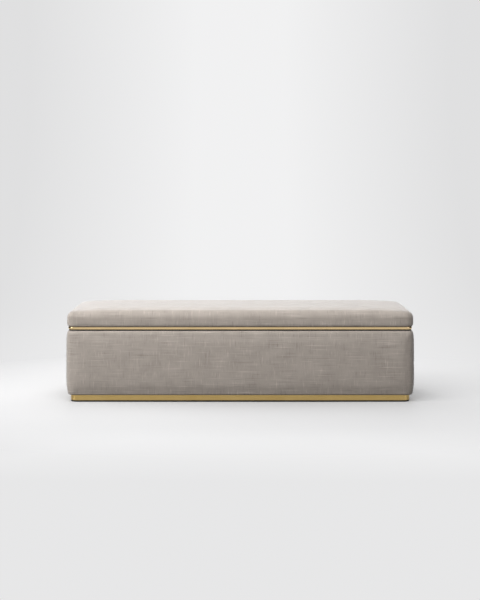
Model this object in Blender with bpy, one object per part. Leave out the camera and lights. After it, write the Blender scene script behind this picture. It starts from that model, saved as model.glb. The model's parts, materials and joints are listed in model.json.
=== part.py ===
"""A storage bed bench: an upholstered box on a brass plinth, with a cushioned lid on two gas struts.

Metres, +Z up. The front faces -Y, the length runs along X, and the origin is on the floor under the middle.
"""
import math

import bmesh
import bpy
from mathutils import Matrix, Vector

# Clearance between pieces that touch
GAP = 0.0003

# Upholstered base, over its fullest part
LENGTH = 1.600
DEPTH = 0.450
BASE_HEIGHT = 0.2937
BASE_CORNER = 0.040
BASE_SWELL = 0.004
BASE_ROLL_IN = 0.008
BASE_ROLL_TALL = 0.014

# Layers of upholstery
COVER = 0.0015
FOAM = 0.018
LINING = 0.0012

# Carcass of the base
PANEL = 0.015
FLOOR_PANEL = 0.012
POST_FLAT = 0.015

# Brass plinth on its rails, and the glides under it
PLINTH_HEIGHT = 0.0257
PLINTH_INSET = 0.020
PLINTH_CORNER = 0.030
BAND = 0.0012
RAIL_FLAT = 0.002
CROSS_RAIL = 0.040
GLIDE_HEIGHT = 0.007
GLIDE_RADIUS = 0.010
GLIDE_CHAMFER = 0.0015
GLIDE_FROM_END = 0.100

# Straight run of a brass strip past the corner that it turns
STRIP_RETURN = 0.008

# Lid board and the half-round moulding on its edge
LID_BOARD = 0.016
TRIM_INSET = 0.010
TRIM = 0.005
TRIM_EDGE = 0.0015
TRIM_CORNER = 0.030
LID_LINING_MARGIN = 0.006

# Lid cushion
CUSHION_HEIGHT = 0.083
CUSHION_INSET = 0.0037
CUSHION_CORNER = 0.038
CUSHION_ROLL = 0.038
CUSHION_CROWN = 0.0065
CUSHION_TUCK_IN = 0.0065
CUSHION_TUCK_TALL = 0.015
CUSHION_BOARD = 0.005
CUSHION_BOARD_INSET = 0.009
CUSHION_HEM = 0.045

# Butt hinges
HINGE_LENGTH = 0.080
HINGE_FROM_END = 0.250
LEAF = 0.0013
LEAF_WIDTH = 0.027
KNUCKLES = 5
KNUCKLE_RADIUS = 0.004
KNUCKLE_CLEARANCE = 0.001
PIN_RADIUS = 0.0018
PIN_HEAD_RADIUS = 0.0032
PIN_HEAD = 0.0015

# Rubber bumpers on the rim
BUMPER_RADIUS = 0.005
BUMPER_FROM_END = 0.150

# Gas struts and their brackets
STRUT_FROM_WALL = 0.0185
STRUT_FROM_POST = 0.0035
STRUT_FOOT = 0.0385
STRUT_DROP = 0.026
TUBE_RADIUS = 0.009
TUBE_WALL = 0.0015
TUBE_PLUG = 0.008
TUBE_GUIDE = 0.010
ROD_RADIUS = 0.004
PISTON = 0.012
PISTON_REST = 0.003
NECK = 0.018
NECK_RADIUS = 0.005
MOUTH_CLEARANCE = 0.003
EYE_RADIUS = 0.009
EYE_WIDTH = 0.010
STUD_RADIUS = 0.004
STUD_HEAD_RADIUS = 0.0065
STUD_HEAD = 0.002
EYE_CLEARANCE = 0.0015
PLATE = 0.002
PLATE_WIDTH = 0.030
PLATE_LENGTH = 0.060

# Fineness of curved surfaces
HALF_CORNER_STEPS = 3
ROLL_STEPS = 4
SWELL_STEPS = 6
TRIM_STEPS = 6
CROWN_STEPS = 4
CROWN_REACH = 0.85
ROUND_STEPS = 16
LEAST_RADIUS = 0.002
SHARP_ANGLE = math.radians(35)

corner_steps = 2 * HALF_CORNER_STEPS

# Levels, from the floor up
plinth_bottom = GLIDE_HEIGHT + GAP
plinth_top = plinth_bottom + PLINTH_HEIGHT
base_bottom = plinth_top + GAP
base_top = base_bottom + BASE_HEIGHT
floor_bottom = base_bottom + COVER + GAP
floor_top = floor_bottom + FLOOR_PANEL
panel_bottom = floor_top + GAP
panel_top = base_top - COVER - GAP
lining_floor = floor_top + GAP + LINING
parting = 2 * LEAF + 3 * GAP
lid_bottom = base_top + parting
lid_top = lid_bottom + LID_BOARD
cushion_bottom = lid_top + GAP
cushion_top = cushion_bottom + CUSHION_HEIGHT
cushion_board_bottom = cushion_bottom + COVER + GAP
cushion_board_top = cushion_board_bottom + CUSHION_BOARD

# Plan of the base: the carcass lies inside its foam and cover
half_length = LENGTH / 2
half_depth = DEPTH / 2
upholstery = FOAM + COVER + 2 * GAP
carcass_x = half_length - upholstery
carcass_y = half_depth - upholstery
post_radius = BASE_CORNER - upholstery
post = post_radius + POST_FLAT
inside_x = carcass_x - PANEL
inside_y = carcass_y - PANEL
rim_edge = upholstery - BASE_SWELL - BASE_ROLL_IN

# Plan of the plinth
rail_inset = PLINTH_INSET + BAND + GAP
rail_x = half_length - rail_inset
rail_y = half_depth - rail_inset
rail_corner = PLINTH_CORNER - BAND - GAP
rail = rail_corner + RAIL_FLAT
hem_edge = upholstery - rail_inset - rail

# Hinge axis, along X at the back of the parting line
axis = Vector((0, half_depth - TRIM_INSET + KNUCKLE_RADIUS + KNUCKLE_CLEARANCE, base_top + parting / 2))

# Strut pivots: both lie equally far from the hinge axis, so each strut turns half as far as the lid
strut_x = inside_x - GAP - LINING - STRUT_FROM_WALL
box_pivot_y = carcass_y - post - GAP - LINING - STRUT_FROM_POST - TUBE_RADIUS
box_pivot = Vector((0, box_pivot_y, lining_floor + STRUT_FOOT))
strut_arm = (box_pivot - axis).length
lid_pivot = axis + Vector((0, -math.sqrt(strut_arm ** 2 - STRUT_DROP ** 2), -STRUT_DROP))
strut_line = lid_pivot - box_pivot
strut_closed = strut_line.length
strut_tilt = math.atan2(-strut_line.y, strut_line.z)

# The lining under the lid ends short of the rim, and the strut brackets stand on it
lid_bracket_x = strut_x - EYE_WIDTH / 2 - EYE_CLEARANCE
lid_lining_x = inside_x - LID_LINING_MARGIN
lid_lining_y = inside_y - LID_LINING_MARGIN

# Front right, back right, back left and front left corners, in turning order
CORNERS = ((1, -1), (1, 1), (-1, 1), (-1, -1))
SIDES = {"left": -1, "right": 1}
FACES = {"front": -1, "back": 1}

# Colour, roughness and metallic value of each finish
FINISHES = {
    "upholstery": ((0.42, 0.38, 0.34, 1), 0.9, 0),
    "lining": ((0.10, 0.095, 0.09, 1), 0.95, 0),
    "foam": ((0.85, 0.80, 0.62, 1), 0.9, 0),
    "plywood": ((0.60, 0.44, 0.27, 1), 0.7, 0),
    "pine": ((0.68, 0.50, 0.30, 1), 0.7, 0),
    "brass": ((0.62, 0.47, 0.24, 1), 0.3, 1),
    "steel": ((0.55, 0.55, 0.54, 1), 0.35, 1),
    "black_enamel": ((0.02, 0.02, 0.02, 1), 0.4, 0),
    "rubber": ((0.03, 0.03, 0.03, 1), 0.85, 0),
    "glide_plastic": ((0.04, 0.04, 0.04, 1), 0.6, 0),
}


def clear_scene():
    """Removes whatever the scene holds."""
    for item in list(bpy.data.objects):
        bpy.data.objects.remove(item)


def make_finish(name):
    """A plain surface with the finish's colour, roughness and metallic value."""
    colour, roughness, metallic = FINISHES[name]
    material = bpy.data.materials.new(name)
    material.use_nodes = True
    surface = material.node_tree.nodes["Principled BSDF"]
    surface.inputs["Base Color"].default_value = colour
    surface.inputs["Roughness"].default_value = roughness
    surface.inputs["Metallic"].default_value = metallic
    material.diffuse_color = colour
    return material


def add_pivot(name, place):
    """An empty on a joint's axis, which carries the pieces that turn about it."""
    pivot = bpy.data.objects.new(name, None)
    pivot.location = place
    bpy.context.collection.objects.link(pivot)
    return pivot


def add_piece(name, shape, finish, pivot=None, place=Vector((0, 0, 0)), tilt=0.0):
    """Makes a named piece from a closed shape, shaded smooth between its sharp edges."""
    bmesh.ops.recalc_face_normals(shape, faces=shape.faces[:])
    mesh = bpy.data.meshes.new(name)
    shape.to_mesh(mesh)
    shape.free()
    mesh.shade_smooth()
    mesh.set_sharp_from_angle(angle=SHARP_ANGLE)
    mesh.materials.append(materials[finish])
    piece = bpy.data.objects.new(name, mesh)
    piece.location = place
    piece.rotation_euler.x = tilt
    if pivot:
        piece.parent = pivot
        piece.location = place - pivot.location
    bpy.context.collection.objects.link(piece)
    return piece


def loft(loops, closed=False):
    """Joins matching loops of points in order, with flat ends or with the last loop joined to the first."""
    shape = bmesh.new()
    rings = [[shape.verts.new(point) for point in loop] for loop in loops]
    following = rings[1:] + rings[:1] if closed else rings[1:]
    for ring, after in zip(rings, following):
        for index in range(len(ring)):
            nearby = (index + 1) % len(ring)
            shape.faces.new((ring[index], ring[nearby], after[nearby], after[index]))
    if not closed:
        shape.faces.new(rings[0])
        shape.faces.new(rings[-1])
    bmesh.ops.recalc_face_normals(shape, faces=shape.faces[:])
    return shape


def slab(low, high):
    """A box between two opposite corners."""
    outline = [(low[0], low[1]), (high[0], low[1]), (high[0], high[1]), (low[0], high[1])]
    return prism(outline, low[2], high[2])


def prism(outline, bottom, top):
    """A flat outline drawn straight up between two levels."""
    return loft([[(x, y, level) for x, y in outline] for level in (bottom, top)])


def turned(profile):
    """A round piece about Z from pairs of height and radius."""
    loops = []
    for height, radius in profile:
        turns = [2 * math.pi * step / ROUND_STEPS for step in range(ROUND_STEPS)]
        loops.append([(radius * math.cos(turn), radius * math.sin(turn), height) for turn in turns])
    return loft(loops)


def moved(shape, place, turn=0.0, about="X"):
    """Turns a shape about an axis through the origin, then moves it."""
    matrix = Matrix.Translation(place) @ Matrix.Rotation(turn, 4, about)
    bmesh.ops.transform(shape, matrix=matrix, verts=shape.verts[:])
    return shape


def across(profile, place, side=1):
    """A round piece about an axis along X, built towards the given side."""
    return moved(turned(profile), place, side * math.pi / 2, "Y")


def combined(base, other, operation):
    """Joins a shape to another, or cuts the other out of it."""
    helpers = []
    for shape in (base, other):
        bmesh.ops.recalc_face_normals(shape, faces=shape.faces[:])
        mesh = bpy.data.meshes.new("helper")
        shape.to_mesh(mesh)
        shape.free()
        helpers.append(bpy.data.objects.new("helper", mesh))
        bpy.context.collection.objects.link(helpers[-1])
    step = helpers[0].modifiers.new("step", "BOOLEAN")
    step.operation = operation
    step.solver = "EXACT"
    step.object = helpers[1]
    result = bmesh.new()
    result.from_object(helpers[0], bpy.context.evaluated_depsgraph_get())
    for helper in helpers:
        bpy.data.objects.remove(helper)
    return result


def joined(base, *others):
    """Joins shapes that overlap into one."""
    for other in others:
        base = combined(base, other, "UNION")
    return base


def corner_arc(reach_x, reach_y, radius, corner, start=0.0, stop=1.0):
    """Points along a rounded corner of a rectangle, each with its outward direction."""
    side_x, side_y = CORNERS[corner]
    centre = Vector((side_x * (reach_x - radius), side_y * (reach_y - radius)))
    stations = []
    steps = round(corner_steps * (stop - start))
    for step in range(steps + 1):
        share = start + (stop - start) * step / steps
        turn = math.pi / 2 * (corner - 1 + share)
        outward = Vector((math.cos(turn), math.sin(turn)))
        stations.append((centre + outward * radius, outward))
    return stations


def rounded_outline(reach_x, reach_y, radius):
    """Points of a rectangle with rounded corners."""
    outline = []
    for corner in range(len(CORNERS)):
        outline += [point for point, _ in corner_arc(reach_x, reach_y, max(radius, LEAST_RADIUS), corner)]
    return outline


def rounded_loop(reach_x, reach_y, radius, offset, level):
    """A level loop at a given offset outside a rounded rectangle."""
    outline = rounded_outline(reach_x + offset, reach_y + offset, radius + offset)
    return [(x, y, level) for x, y in outline]


def strip(stations, section):
    """A section of offsets and levels carried along a path."""
    loops = []
    for point, outward in stations:
        loops.append([(*(point + outward * offset), level) for offset, level in section])
    return loft(loops)


def wrapped_path(reach_x, reach_y, radius, face):
    """The path of a strip along the front or the back that turns both corners."""
    first, second = (3, 0) if face < 0 else (1, 2)
    end_y = face * (reach_y - radius - STRIP_RETURN)
    start = (Vector((face * reach_x, end_y)), Vector((face, 0)))
    stop = (Vector((-face * reach_x, end_y)), Vector((-face, 0)))
    arcs = corner_arc(reach_x, reach_y, radius, first) + corner_arc(reach_x, reach_y, radius, second)
    return [start] + arcs + [stop]


def end_path(reach_x, reach_y, radius, side):
    """The path of a straight strip along one end, between the strips that turn the corners."""
    end_y = reach_y - radius - STRIP_RETURN - GAP
    outward = Vector((side, 0))
    return [(Vector((side * reach_x, level)), outward) for level in (-end_y, end_y)]


def add_strips(name, reach_x, reach_y, radius, section, pivot=None):
    """Four brass strips round a rounded rectangle."""
    for label, face in FACES.items():
        path = wrapped_path(reach_x, reach_y, radius, face)
        add_piece(f"{name}_{label}", strip(path, section), "brass", pivot)
    for label, side in SIDES.items():
        path = end_path(reach_x, reach_y, radius, side)
        add_piece(f"{name}_{label}", strip(path, section), "brass", pivot)


def quarter(steps):
    """Angles of a quarter turn."""
    return [math.pi / 2 * step / steps for step in range(steps + 1)]


def base_profile(inside):
    """Offsets from the carcass and levels up the base's swollen side, a given depth inside its cover."""
    roll_in = BASE_ROLL_IN - inside
    roll_tall = BASE_ROLL_TALL - inside
    low = base_bottom + BASE_ROLL_TALL
    high = base_top - BASE_ROLL_TALL
    turns = quarter(ROLL_STEPS)
    roll = [(rim_edge + roll_in * math.sin(turn), roll_tall * math.cos(turn)) for turn in turns]
    profile = [(offset, low - drop) for offset, drop in roll]
    for step in range(1, SWELL_STEPS):
        share = step / SWELL_STEPS
        swell = BASE_SWELL * (1 - (2 * share - 1) ** 2)
        profile.append((rim_edge + roll_in + swell, low + (high - low) * share))
    return profile + [(offset, high + rise) for offset, rise in reversed(roll)]


def cushion_profile(inside):
    """Insets and levels from the cushion's tuck over its side and crown, a given depth inside its cover."""
    shoulder = cushion_top - CUSHION_CROWN - CUSHION_ROLL
    profile = []
    for turn in quarter(ROLL_STEPS):
        inset = CUSHION_TUCK_IN - (CUSHION_TUCK_IN - inside) * math.sin(turn)
        level = cushion_bottom + CUSHION_TUCK_TALL - (CUSHION_TUCK_TALL - inside) * math.cos(turn)
        profile.append((inset, level))
    for turn in quarter(corner_steps):
        inset = CUSHION_ROLL - (CUSHION_ROLL - inside) * math.cos(turn)
        profile.append((inset, shoulder + (CUSHION_ROLL - inside) * math.sin(turn)))
    across_top = half_depth - CUSHION_INSET - CUSHION_ROLL
    for step in range(1, CROWN_STEPS + 1):
        share = CROWN_REACH * step / CROWN_STEPS
        crown = CUSHION_CROWN * (1 - (1 - share) ** 2)
        profile.append((CUSHION_ROLL + across_top * share, shoulder + CUSHION_ROLL - inside + crown))
    return profile


def profile_above(profile, bottom):
    """The part of a rising profile above a level, cut square at that level."""
    below = [point for point in profile if point[1] <= bottom]
    above = profile[len(below):]
    share = (bottom - below[-1][1]) / (above[0][1] - below[-1][1])
    inset = below[-1][0] + (above[0][0] - below[-1][0]) * share
    return [(inset, bottom)] + above


def cushion_loops(profile):
    """Level loops round the cushion from its profile."""
    reach_x = half_length - CUSHION_INSET
    reach_y = half_depth - CUSHION_INSET
    return [rounded_loop(reach_x, reach_y, CUSHION_CORNER, -inset, level) for inset, level in profile]


def make_glides():
    """Six low plastic glides under the plinth's rails."""
    profile = [
        (0, GLIDE_RADIUS - GLIDE_CHAMFER),
        (GLIDE_CHAMFER, GLIDE_RADIUS),
        (GLIDE_HEIGHT, GLIDE_RADIUS),
    ]
    columns = {"left": -(half_length - GLIDE_FROM_END), "middle": 0, "right": half_length - GLIDE_FROM_END}
    for label, face in FACES.items():
        for column, x in columns.items():
            place = Vector((x, face * (rail_y - rail / 2), 0))
            add_piece(f"glide_{label}_{column}", turned(profile), "glide_plastic", place=place)


def make_plinth():
    """A frame of five rails with a brass band round it."""
    for label, face in FACES.items():
        first, second = (3, 0) if face < 0 else (1, 2)
        arcs = corner_arc(rail_x, rail_y, rail_corner, first)
        arcs += corner_arc(rail_x, rail_y, rail_corner, second)
        inner_y = face * (rail_y - rail)
        outline = [point for point, _ in arcs] + [(-face * rail_x, inner_y), (face * rail_x, inner_y)]
        add_piece(f"plinth_rail_{label}", prism(outline, plinth_bottom, plinth_top), "pine")
    span = rail_y - rail - GAP
    for label, side in SIDES.items():
        x_values = sorted((side * rail_x, side * (rail_x - rail)))
        low = (x_values[0], -span, plinth_bottom)
        high = (x_values[1], span, plinth_top)
        add_piece(f"plinth_rail_{label}", slab(low, high), "pine")
    low = (-CROSS_RAIL / 2, -span, plinth_bottom)
    high = (CROSS_RAIL / 2, span, floor_bottom - GAP)
    add_piece("plinth_rail_cross", slab(low, high), "pine")
    section = [(0, plinth_bottom), (BAND, plinth_bottom), (BAND, plinth_top), (0, plinth_top)]
    add_strips("plinth_band", rail_x + GAP, rail_y + GAP, rail_corner + GAP, section)


def make_carcass():
    """Floor panel, four wall panels and four corner posts with a rounded outer edge."""
    outline = rounded_outline(carcass_x, carcass_y, post_radius)
    add_piece("floor_panel", prism(outline, floor_bottom, floor_top), "plywood")
    span_x = carcass_x - post - GAP
    for label, face in FACES.items():
        y_values = sorted((face * carcass_y, face * inside_y))
        low = (-span_x, y_values[0], panel_bottom)
        high = (span_x, y_values[1], panel_top)
        add_piece(f"{label}_panel", slab(low, high), "plywood")
    span_y = carcass_y - post - GAP
    for label, side in SIDES.items():
        x_values = sorted((side * carcass_x, side * inside_x))
        low = (x_values[0], -span_y, panel_bottom)
        high = (x_values[1], span_y, panel_top)
        add_piece(f"{label}_panel", slab(low, high), "plywood")
    names = ("front_right", "back_right", "back_left", "front_left")
    for corner, label in enumerate(names):
        side_x, side_y = CORNERS[corner]
        arc = [point for point, _ in corner_arc(carcass_x, carcass_y, post_radius, corner)]
        back_x = side_x * (carcass_x - post)
        back_y = side_y * (carcass_y - post)
        turning = [(arc[-1].x, back_y), (back_x, back_y), (back_x, arc[0].y)]
        if side_x * side_y > 0:
            turning = [(back_x, arc[-1].y), (back_x, back_y), (arc[0].x, back_y)]
        add_piece(f"corner_post_{label}", prism(arc + turning, panel_bottom, panel_top), "pine")


def make_base_upholstery():
    """Four foam sheets mitred at the corners, and the cover pulled over them."""
    inside = COVER + GAP
    face = base_profile(inside)
    section = [(GAP, face[0][1])] + face + [(GAP, face[-1][1])]
    mitre = GAP / (math.pi / 2 * post_radius)
    for corner, label in enumerate(("right", "back", "left", "front")):
        after = (corner + 1) % len(CORNERS)
        start = corner_arc(carcass_x, carcass_y, post_radius, corner, 0.5 + mitre, 1)
        stop = corner_arc(carcass_x, carcass_y, post_radius, after, 0, 0.5 - mitre)
        add_piece(f"{label}_foam", strip(start + stop, section), "foam")
    outer = [(hem_edge, base_bottom)] + base_profile(0) + [(-PANEL, base_top)]
    inner = [(hem_edge, base_bottom + COVER)] + base_profile(COVER) + [(-PANEL, base_top - COVER)]
    around = outer + inner[::-1]
    loops = [rounded_loop(carcass_x, carcass_y, post_radius, offset, level) for offset, level in around]
    add_piece("base_cover", loft(loops, closed=True), "upholstery")


def lining_loop(inside, level):
    """A level loop along the walls of the storage space, stepped round the corner posts."""
    wall_x = inside_x - GAP - inside
    wall_y = inside_y - GAP - inside
    step_x = carcass_x - post - GAP - inside
    step_y = carcass_y - post - GAP - inside
    loop = []
    for side_x, side_y in CORNERS:
        corner = [(wall_x, step_y), (step_x, step_y), (step_x, wall_y)]
        if side_x * side_y < 0:
            corner.reverse()
        loop += [(side_x * x, side_y * y, level) for x, y in corner]
    return loop


def make_storage_lining():
    """A cloth tray that lines the storage space."""
    bottom = floor_top + GAP
    loops = [
        lining_loop(0, bottom),
        lining_loop(0, panel_top),
        lining_loop(LINING, panel_top),
        lining_loop(LINING, lining_floor),
    ]
    add_piece("storage_lining", loft(loops), "lining")


def make_lid(pivot):
    """Lid board with its moulding and lining, and the cushion on its own thin board."""
    reach_x = half_length - TRIM_INSET - TRIM
    reach_y = half_depth - TRIM_INSET - TRIM
    radius = TRIM_CORNER - TRIM
    board = prism(rounded_outline(reach_x - GAP, reach_y - GAP, radius - GAP), lid_bottom, lid_top)
    add_piece("lid_board", board, "plywood", pivot)
    section = [(0, lid_bottom)]
    for step in range(TRIM_STEPS + 1):
        turn = math.pi * step / TRIM_STEPS
        offset = TRIM_EDGE + (TRIM - TRIM_EDGE) * math.sin(turn)
        section.append((offset, lid_bottom + LID_BOARD / 2 * (1 - math.cos(turn))))
    section.append((0, lid_top))
    add_strips("lid_trim", reach_x, reach_y, radius, section, pivot)

    board_x = half_length - CUSHION_INSET - CUSHION_BOARD_INSET
    board_y = half_depth - CUSHION_INSET - CUSHION_BOARD_INSET
    outline = rounded_outline(board_x, board_y, CUSHION_CORNER - CUSHION_BOARD_INSET)
    add_piece("cushion_board", prism(outline, cushion_board_bottom, cushion_board_top), "plywood", pivot)

    foam = profile_above(cushion_profile(COVER + GAP), cushion_board_top + GAP)
    add_piece("cushion_foam", loft(cushion_loops(foam)), "foam", pivot)

    outer = cushion_profile(0)
    inner = cushion_profile(COVER)
    hem = [(CUSHION_HEM, inner[0][1]), (CUSHION_HEM, outer[0][1])]
    add_piece("cushion_cover", loft(cushion_loops(inner[::-1] + hem + outer)), "upholstery", pivot)

    low = (-lid_lining_x, -lid_lining_y, lid_bottom - GAP - LINING)
    high = (lid_lining_x, lid_lining_y, lid_bottom - GAP)
    add_piece("lid_lining", slab(low, high), "lining", pivot)


def make_hinge_leaf(level, taken):
    """A hinge leaf about an axis at the origin, with every second knuckle from the one given."""
    pitch = HINGE_LENGTH / KNUCKLES
    back = -KNUCKLE_RADIUS - GAP
    leaf = slab((-HINGE_LENGTH / 2, -LEAF_WIDTH, level), (HINGE_LENGTH / 2, back, level + LEAF))
    for index in range(taken, KNUCKLES, 2):
        start = -HINGE_LENGTH / 2 + pitch * index + GAP / 2
        stop = start + pitch - GAP
        tab = slab((start, back - LEAF, level), (stop, -PIN_RADIUS, level + LEAF))
        barrel = across([(0, KNUCKLE_RADIUS), (stop - start, KNUCKLE_RADIUS)], Vector((start, 0, 0)))
        leaf = joined(leaf, tab, barrel)
    bore = [(-HINGE_LENGTH, PIN_RADIUS + GAP), (HINGE_LENGTH, PIN_RADIUS + GAP)]
    return combined(leaf, across(bore, Vector((0, 0, 0))), "DIFFERENCE")


def make_hinges(pivot):
    """Three butt hinges: a leaf on the rim, a leaf under the lid board and a headed pin."""
    half = HINGE_LENGTH / 2 + GAP
    pin = [
        (-half - PIN_HEAD, PIN_RADIUS),
        (-half - PIN_HEAD / 2, PIN_HEAD_RADIUS),
        (-half, PIN_HEAD_RADIUS),
        (-half, PIN_RADIUS),
        (half, PIN_RADIUS),
        (half, PIN_HEAD_RADIUS),
        (half + PIN_HEAD / 2, PIN_HEAD_RADIUS),
        (half + PIN_HEAD, PIN_RADIUS),
    ]
    outer = half_length - HINGE_FROM_END
    for label, x in (("left", -outer), ("middle", 0), ("right", outer)):
        place = axis + Vector((x, 0, 0))
        add_piece(f"hinge_{label}_box_leaf", make_hinge_leaf(-GAP / 2 - LEAF, 0), "steel", place=place)
        add_piece(f"hinge_{label}_lid_leaf", make_hinge_leaf(GAP / 2, 1), "steel", pivot, place)
        add_piece(f"hinge_{label}_pin", across(pin, Vector((0, 0, 0))), "steel", place=place)


def make_bumpers():
    """Four rubber bumpers on the rim, which carry the closed lid."""
    profile = [(base_top + GAP, BUMPER_RADIUS), (lid_bottom - GAP, BUMPER_RADIUS)]
    rim_middle = (rim_edge - PANEL) / 2
    for label, side in SIDES.items():
        front = Vector((side * (half_length - BUMPER_FROM_END), -(carcass_y + rim_middle), 0))
        end = Vector((side * (carcass_x + rim_middle), 0, 0))
        add_piece(f"bumper_front_{label}", turned(profile), "rubber", place=front)
        add_piece(f"bumper_end_{label}", turned(profile), "rubber", place=end)


def with_eye(body):
    """Joins a strut's end to its eye, whose bore runs along X through the origin."""
    half = EYE_WIDTH / 2
    eye = across([(0, EYE_RADIUS), (EYE_WIDTH, EYE_RADIUS)], Vector((-half, 0, 0)))
    bore_radius = STUD_RADIUS + GAP
    bore = across([(0, bore_radius), (2 * EYE_WIDTH, bore_radius)], Vector((-EYE_WIDTH, 0, 0)))
    return combined(joined(eye, body), bore, "DIFFERENCE")


def make_strut_tube():
    """A strut's tube, upwards from its eye: closed below, with a guide for the rod at its mouth."""
    mouth = strut_closed - NECK - MOUTH_CLEARANCE
    chamber = TUBE_RADIUS - TUBE_WALL
    guide = ROD_RADIUS + GAP
    start = EYE_RADIUS - TUBE_WALL
    return with_eye(turned([
        (start, NECK_RADIUS),
        (NECK, NECK_RADIUS),
        (NECK, TUBE_RADIUS),
        (mouth, TUBE_RADIUS),
        (mouth, guide),
        (mouth - TUBE_GUIDE, guide),
        (mouth - TUBE_GUIDE, chamber),
        (NECK + TUBE_PLUG, chamber),
    ]))


def make_strut_rod():
    """A strut's rod, downwards from its eye to the piston that it carries."""
    piston_radius = TUBE_RADIUS - TUBE_WALL - GAP
    bottom = -(strut_closed - NECK - TUBE_PLUG - PISTON_REST)
    start = EYE_RADIUS - TUBE_WALL
    return with_eye(turned([
        (bottom, piston_radius),
        (bottom + PISTON, piston_radius),
        (bottom + PISTON, ROD_RADIUS),
        (-NECK, ROD_RADIUS),
        (-NECK, NECK_RADIUS),
        (-start, NECK_RADIUS),
    ]))


def make_stud(start, length, side):
    """A headed stud along X from a bracket's face, sunk a little way into the plate."""
    profile = [
        (-PLATE / 2, STUD_RADIUS),
        (length, STUD_RADIUS),
        (length, STUD_HEAD_RADIUS),
        (length + STUD_HEAD, STUD_HEAD_RADIUS),
    ]
    return across(profile, start, side)


def make_box_bracket(side):
    """A plate on the end wall with a stud for the strut's lower eye."""
    wall = inside_x - 2 * GAP - LINING
    x_values = sorted((side * wall, side * (wall - PLATE)))
    back = box_pivot.y + TUBE_RADIUS
    low = (x_values[0], back - PLATE_WIDTH, box_pivot.z - PLATE_LENGTH / 2)
    high = (x_values[1], back, box_pivot.z + PLATE_LENGTH / 2)
    length = wall - PLATE - strut_x + EYE_WIDTH / 2 + EYE_CLEARANCE
    start = Vector((side * (wall - PLATE), box_pivot.y, box_pivot.z))
    return joined(slab(low, high), make_stud(start, length, -side))


def make_lid_bracket(side):
    """An angle under the lid board with a stud for the strut's upper eye."""
    seat = lid_bottom - 2 * GAP - LINING
    flange_x = sorted((side * lid_bracket_x, side * (lid_bracket_x - PLATE)))
    front = lid_pivot.y - PLATE_WIDTH / 2
    back = lid_pivot.y + PLATE_WIDTH / 2
    flange = slab((flange_x[0], front, lid_pivot.z - EYE_RADIUS), (flange_x[1], back, seat))
    foot_x = sorted((side * (lid_bracket_x - PLATE / 2), side * (lid_bracket_x - PLATE_WIDTH)))
    foot = slab((foot_x[0], front, seat - PLATE), (foot_x[1], back, seat))
    start = Vector((side * lid_bracket_x, lid_pivot.y, lid_pivot.z))
    stud = make_stud(start, EYE_WIDTH + 2 * EYE_CLEARANCE, side)
    return joined(flange, foot, stud)


def make_struts(pivot):
    """Two gas struts between the end walls and the lid, with their brackets."""
    for label, side in SIDES.items():
        offset = Vector((side * strut_x, 0, 0))
        add_piece(f"strut_{label}_box_bracket", make_box_bracket(side), "steel")
        add_piece(f"strut_{label}_lid_bracket", make_lid_bracket(side), "steel", pivot)
        foot = box_pivot + offset
        add_piece(f"strut_{label}_tube", make_strut_tube(), "black_enamel", place=foot, tilt=strut_tilt)
        add_piece(f"strut_{label}_rod", make_strut_rod(), "steel", pivot, lid_pivot + offset, strut_tilt)


clear_scene()
materials = {name: make_finish(name) for name in FINISHES}
lid_axis = add_pivot("lid_hinge_axis", axis)
make_glides()
make_plinth()
make_carcass()
make_base_upholstery()
make_storage_lining()
make_lid(lid_axis)
make_hinges(lid_axis)
make_bumpers()
make_struts(lid_axis)
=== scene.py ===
# %% [markdown]
# # A storage bed bench
# The frame holds the bench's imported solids, each where it belongs, in metres. The front faces -Y and the
# floor is at Z 0. This lesson dresses them: the boards get finishes, the soft pieces, which the solids only
# block out, are made again as cloth over foam, and the metal pieces are made again with finer edges.

# %% Load the frame
import json
import math

import bmesh
import bpy
import numpy as np
from mathutils import Matrix, Vector, noise


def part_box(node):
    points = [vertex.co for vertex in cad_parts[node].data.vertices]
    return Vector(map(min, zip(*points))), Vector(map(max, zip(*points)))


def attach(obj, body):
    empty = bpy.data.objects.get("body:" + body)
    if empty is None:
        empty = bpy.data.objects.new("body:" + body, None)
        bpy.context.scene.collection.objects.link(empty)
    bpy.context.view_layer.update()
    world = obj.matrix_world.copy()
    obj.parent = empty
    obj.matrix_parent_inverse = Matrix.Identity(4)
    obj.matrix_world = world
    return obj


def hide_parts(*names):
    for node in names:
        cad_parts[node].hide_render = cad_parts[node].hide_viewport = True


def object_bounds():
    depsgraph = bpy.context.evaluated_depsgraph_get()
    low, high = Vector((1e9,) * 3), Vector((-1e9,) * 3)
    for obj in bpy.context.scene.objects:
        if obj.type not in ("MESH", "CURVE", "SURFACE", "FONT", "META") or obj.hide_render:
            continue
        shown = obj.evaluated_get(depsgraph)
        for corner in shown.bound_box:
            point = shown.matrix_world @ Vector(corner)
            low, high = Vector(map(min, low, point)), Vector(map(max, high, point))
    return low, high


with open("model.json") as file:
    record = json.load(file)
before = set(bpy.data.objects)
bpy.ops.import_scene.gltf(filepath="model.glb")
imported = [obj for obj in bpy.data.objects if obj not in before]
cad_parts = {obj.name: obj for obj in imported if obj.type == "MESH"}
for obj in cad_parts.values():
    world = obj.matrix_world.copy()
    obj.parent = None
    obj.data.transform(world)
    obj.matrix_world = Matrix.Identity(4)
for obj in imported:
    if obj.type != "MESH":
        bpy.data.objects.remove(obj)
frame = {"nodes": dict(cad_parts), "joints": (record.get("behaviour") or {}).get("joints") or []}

scene = bpy.context.scene
cad_box = [list(corner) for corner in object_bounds()]
print("frame:", len(frame["nodes"]), "solids, from", cad_box[0], "to", cad_box[1])

# %% [markdown]
# ## Camera
# The photograph was taken from straight in front and a little above, with upright lines kept parallel. A
# level camera does that: its lens is shifted down instead of tilting the camera. The focal length, the
# horizon and the middle are in pixels of the picture, which makes them easy to read off the photograph.

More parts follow.
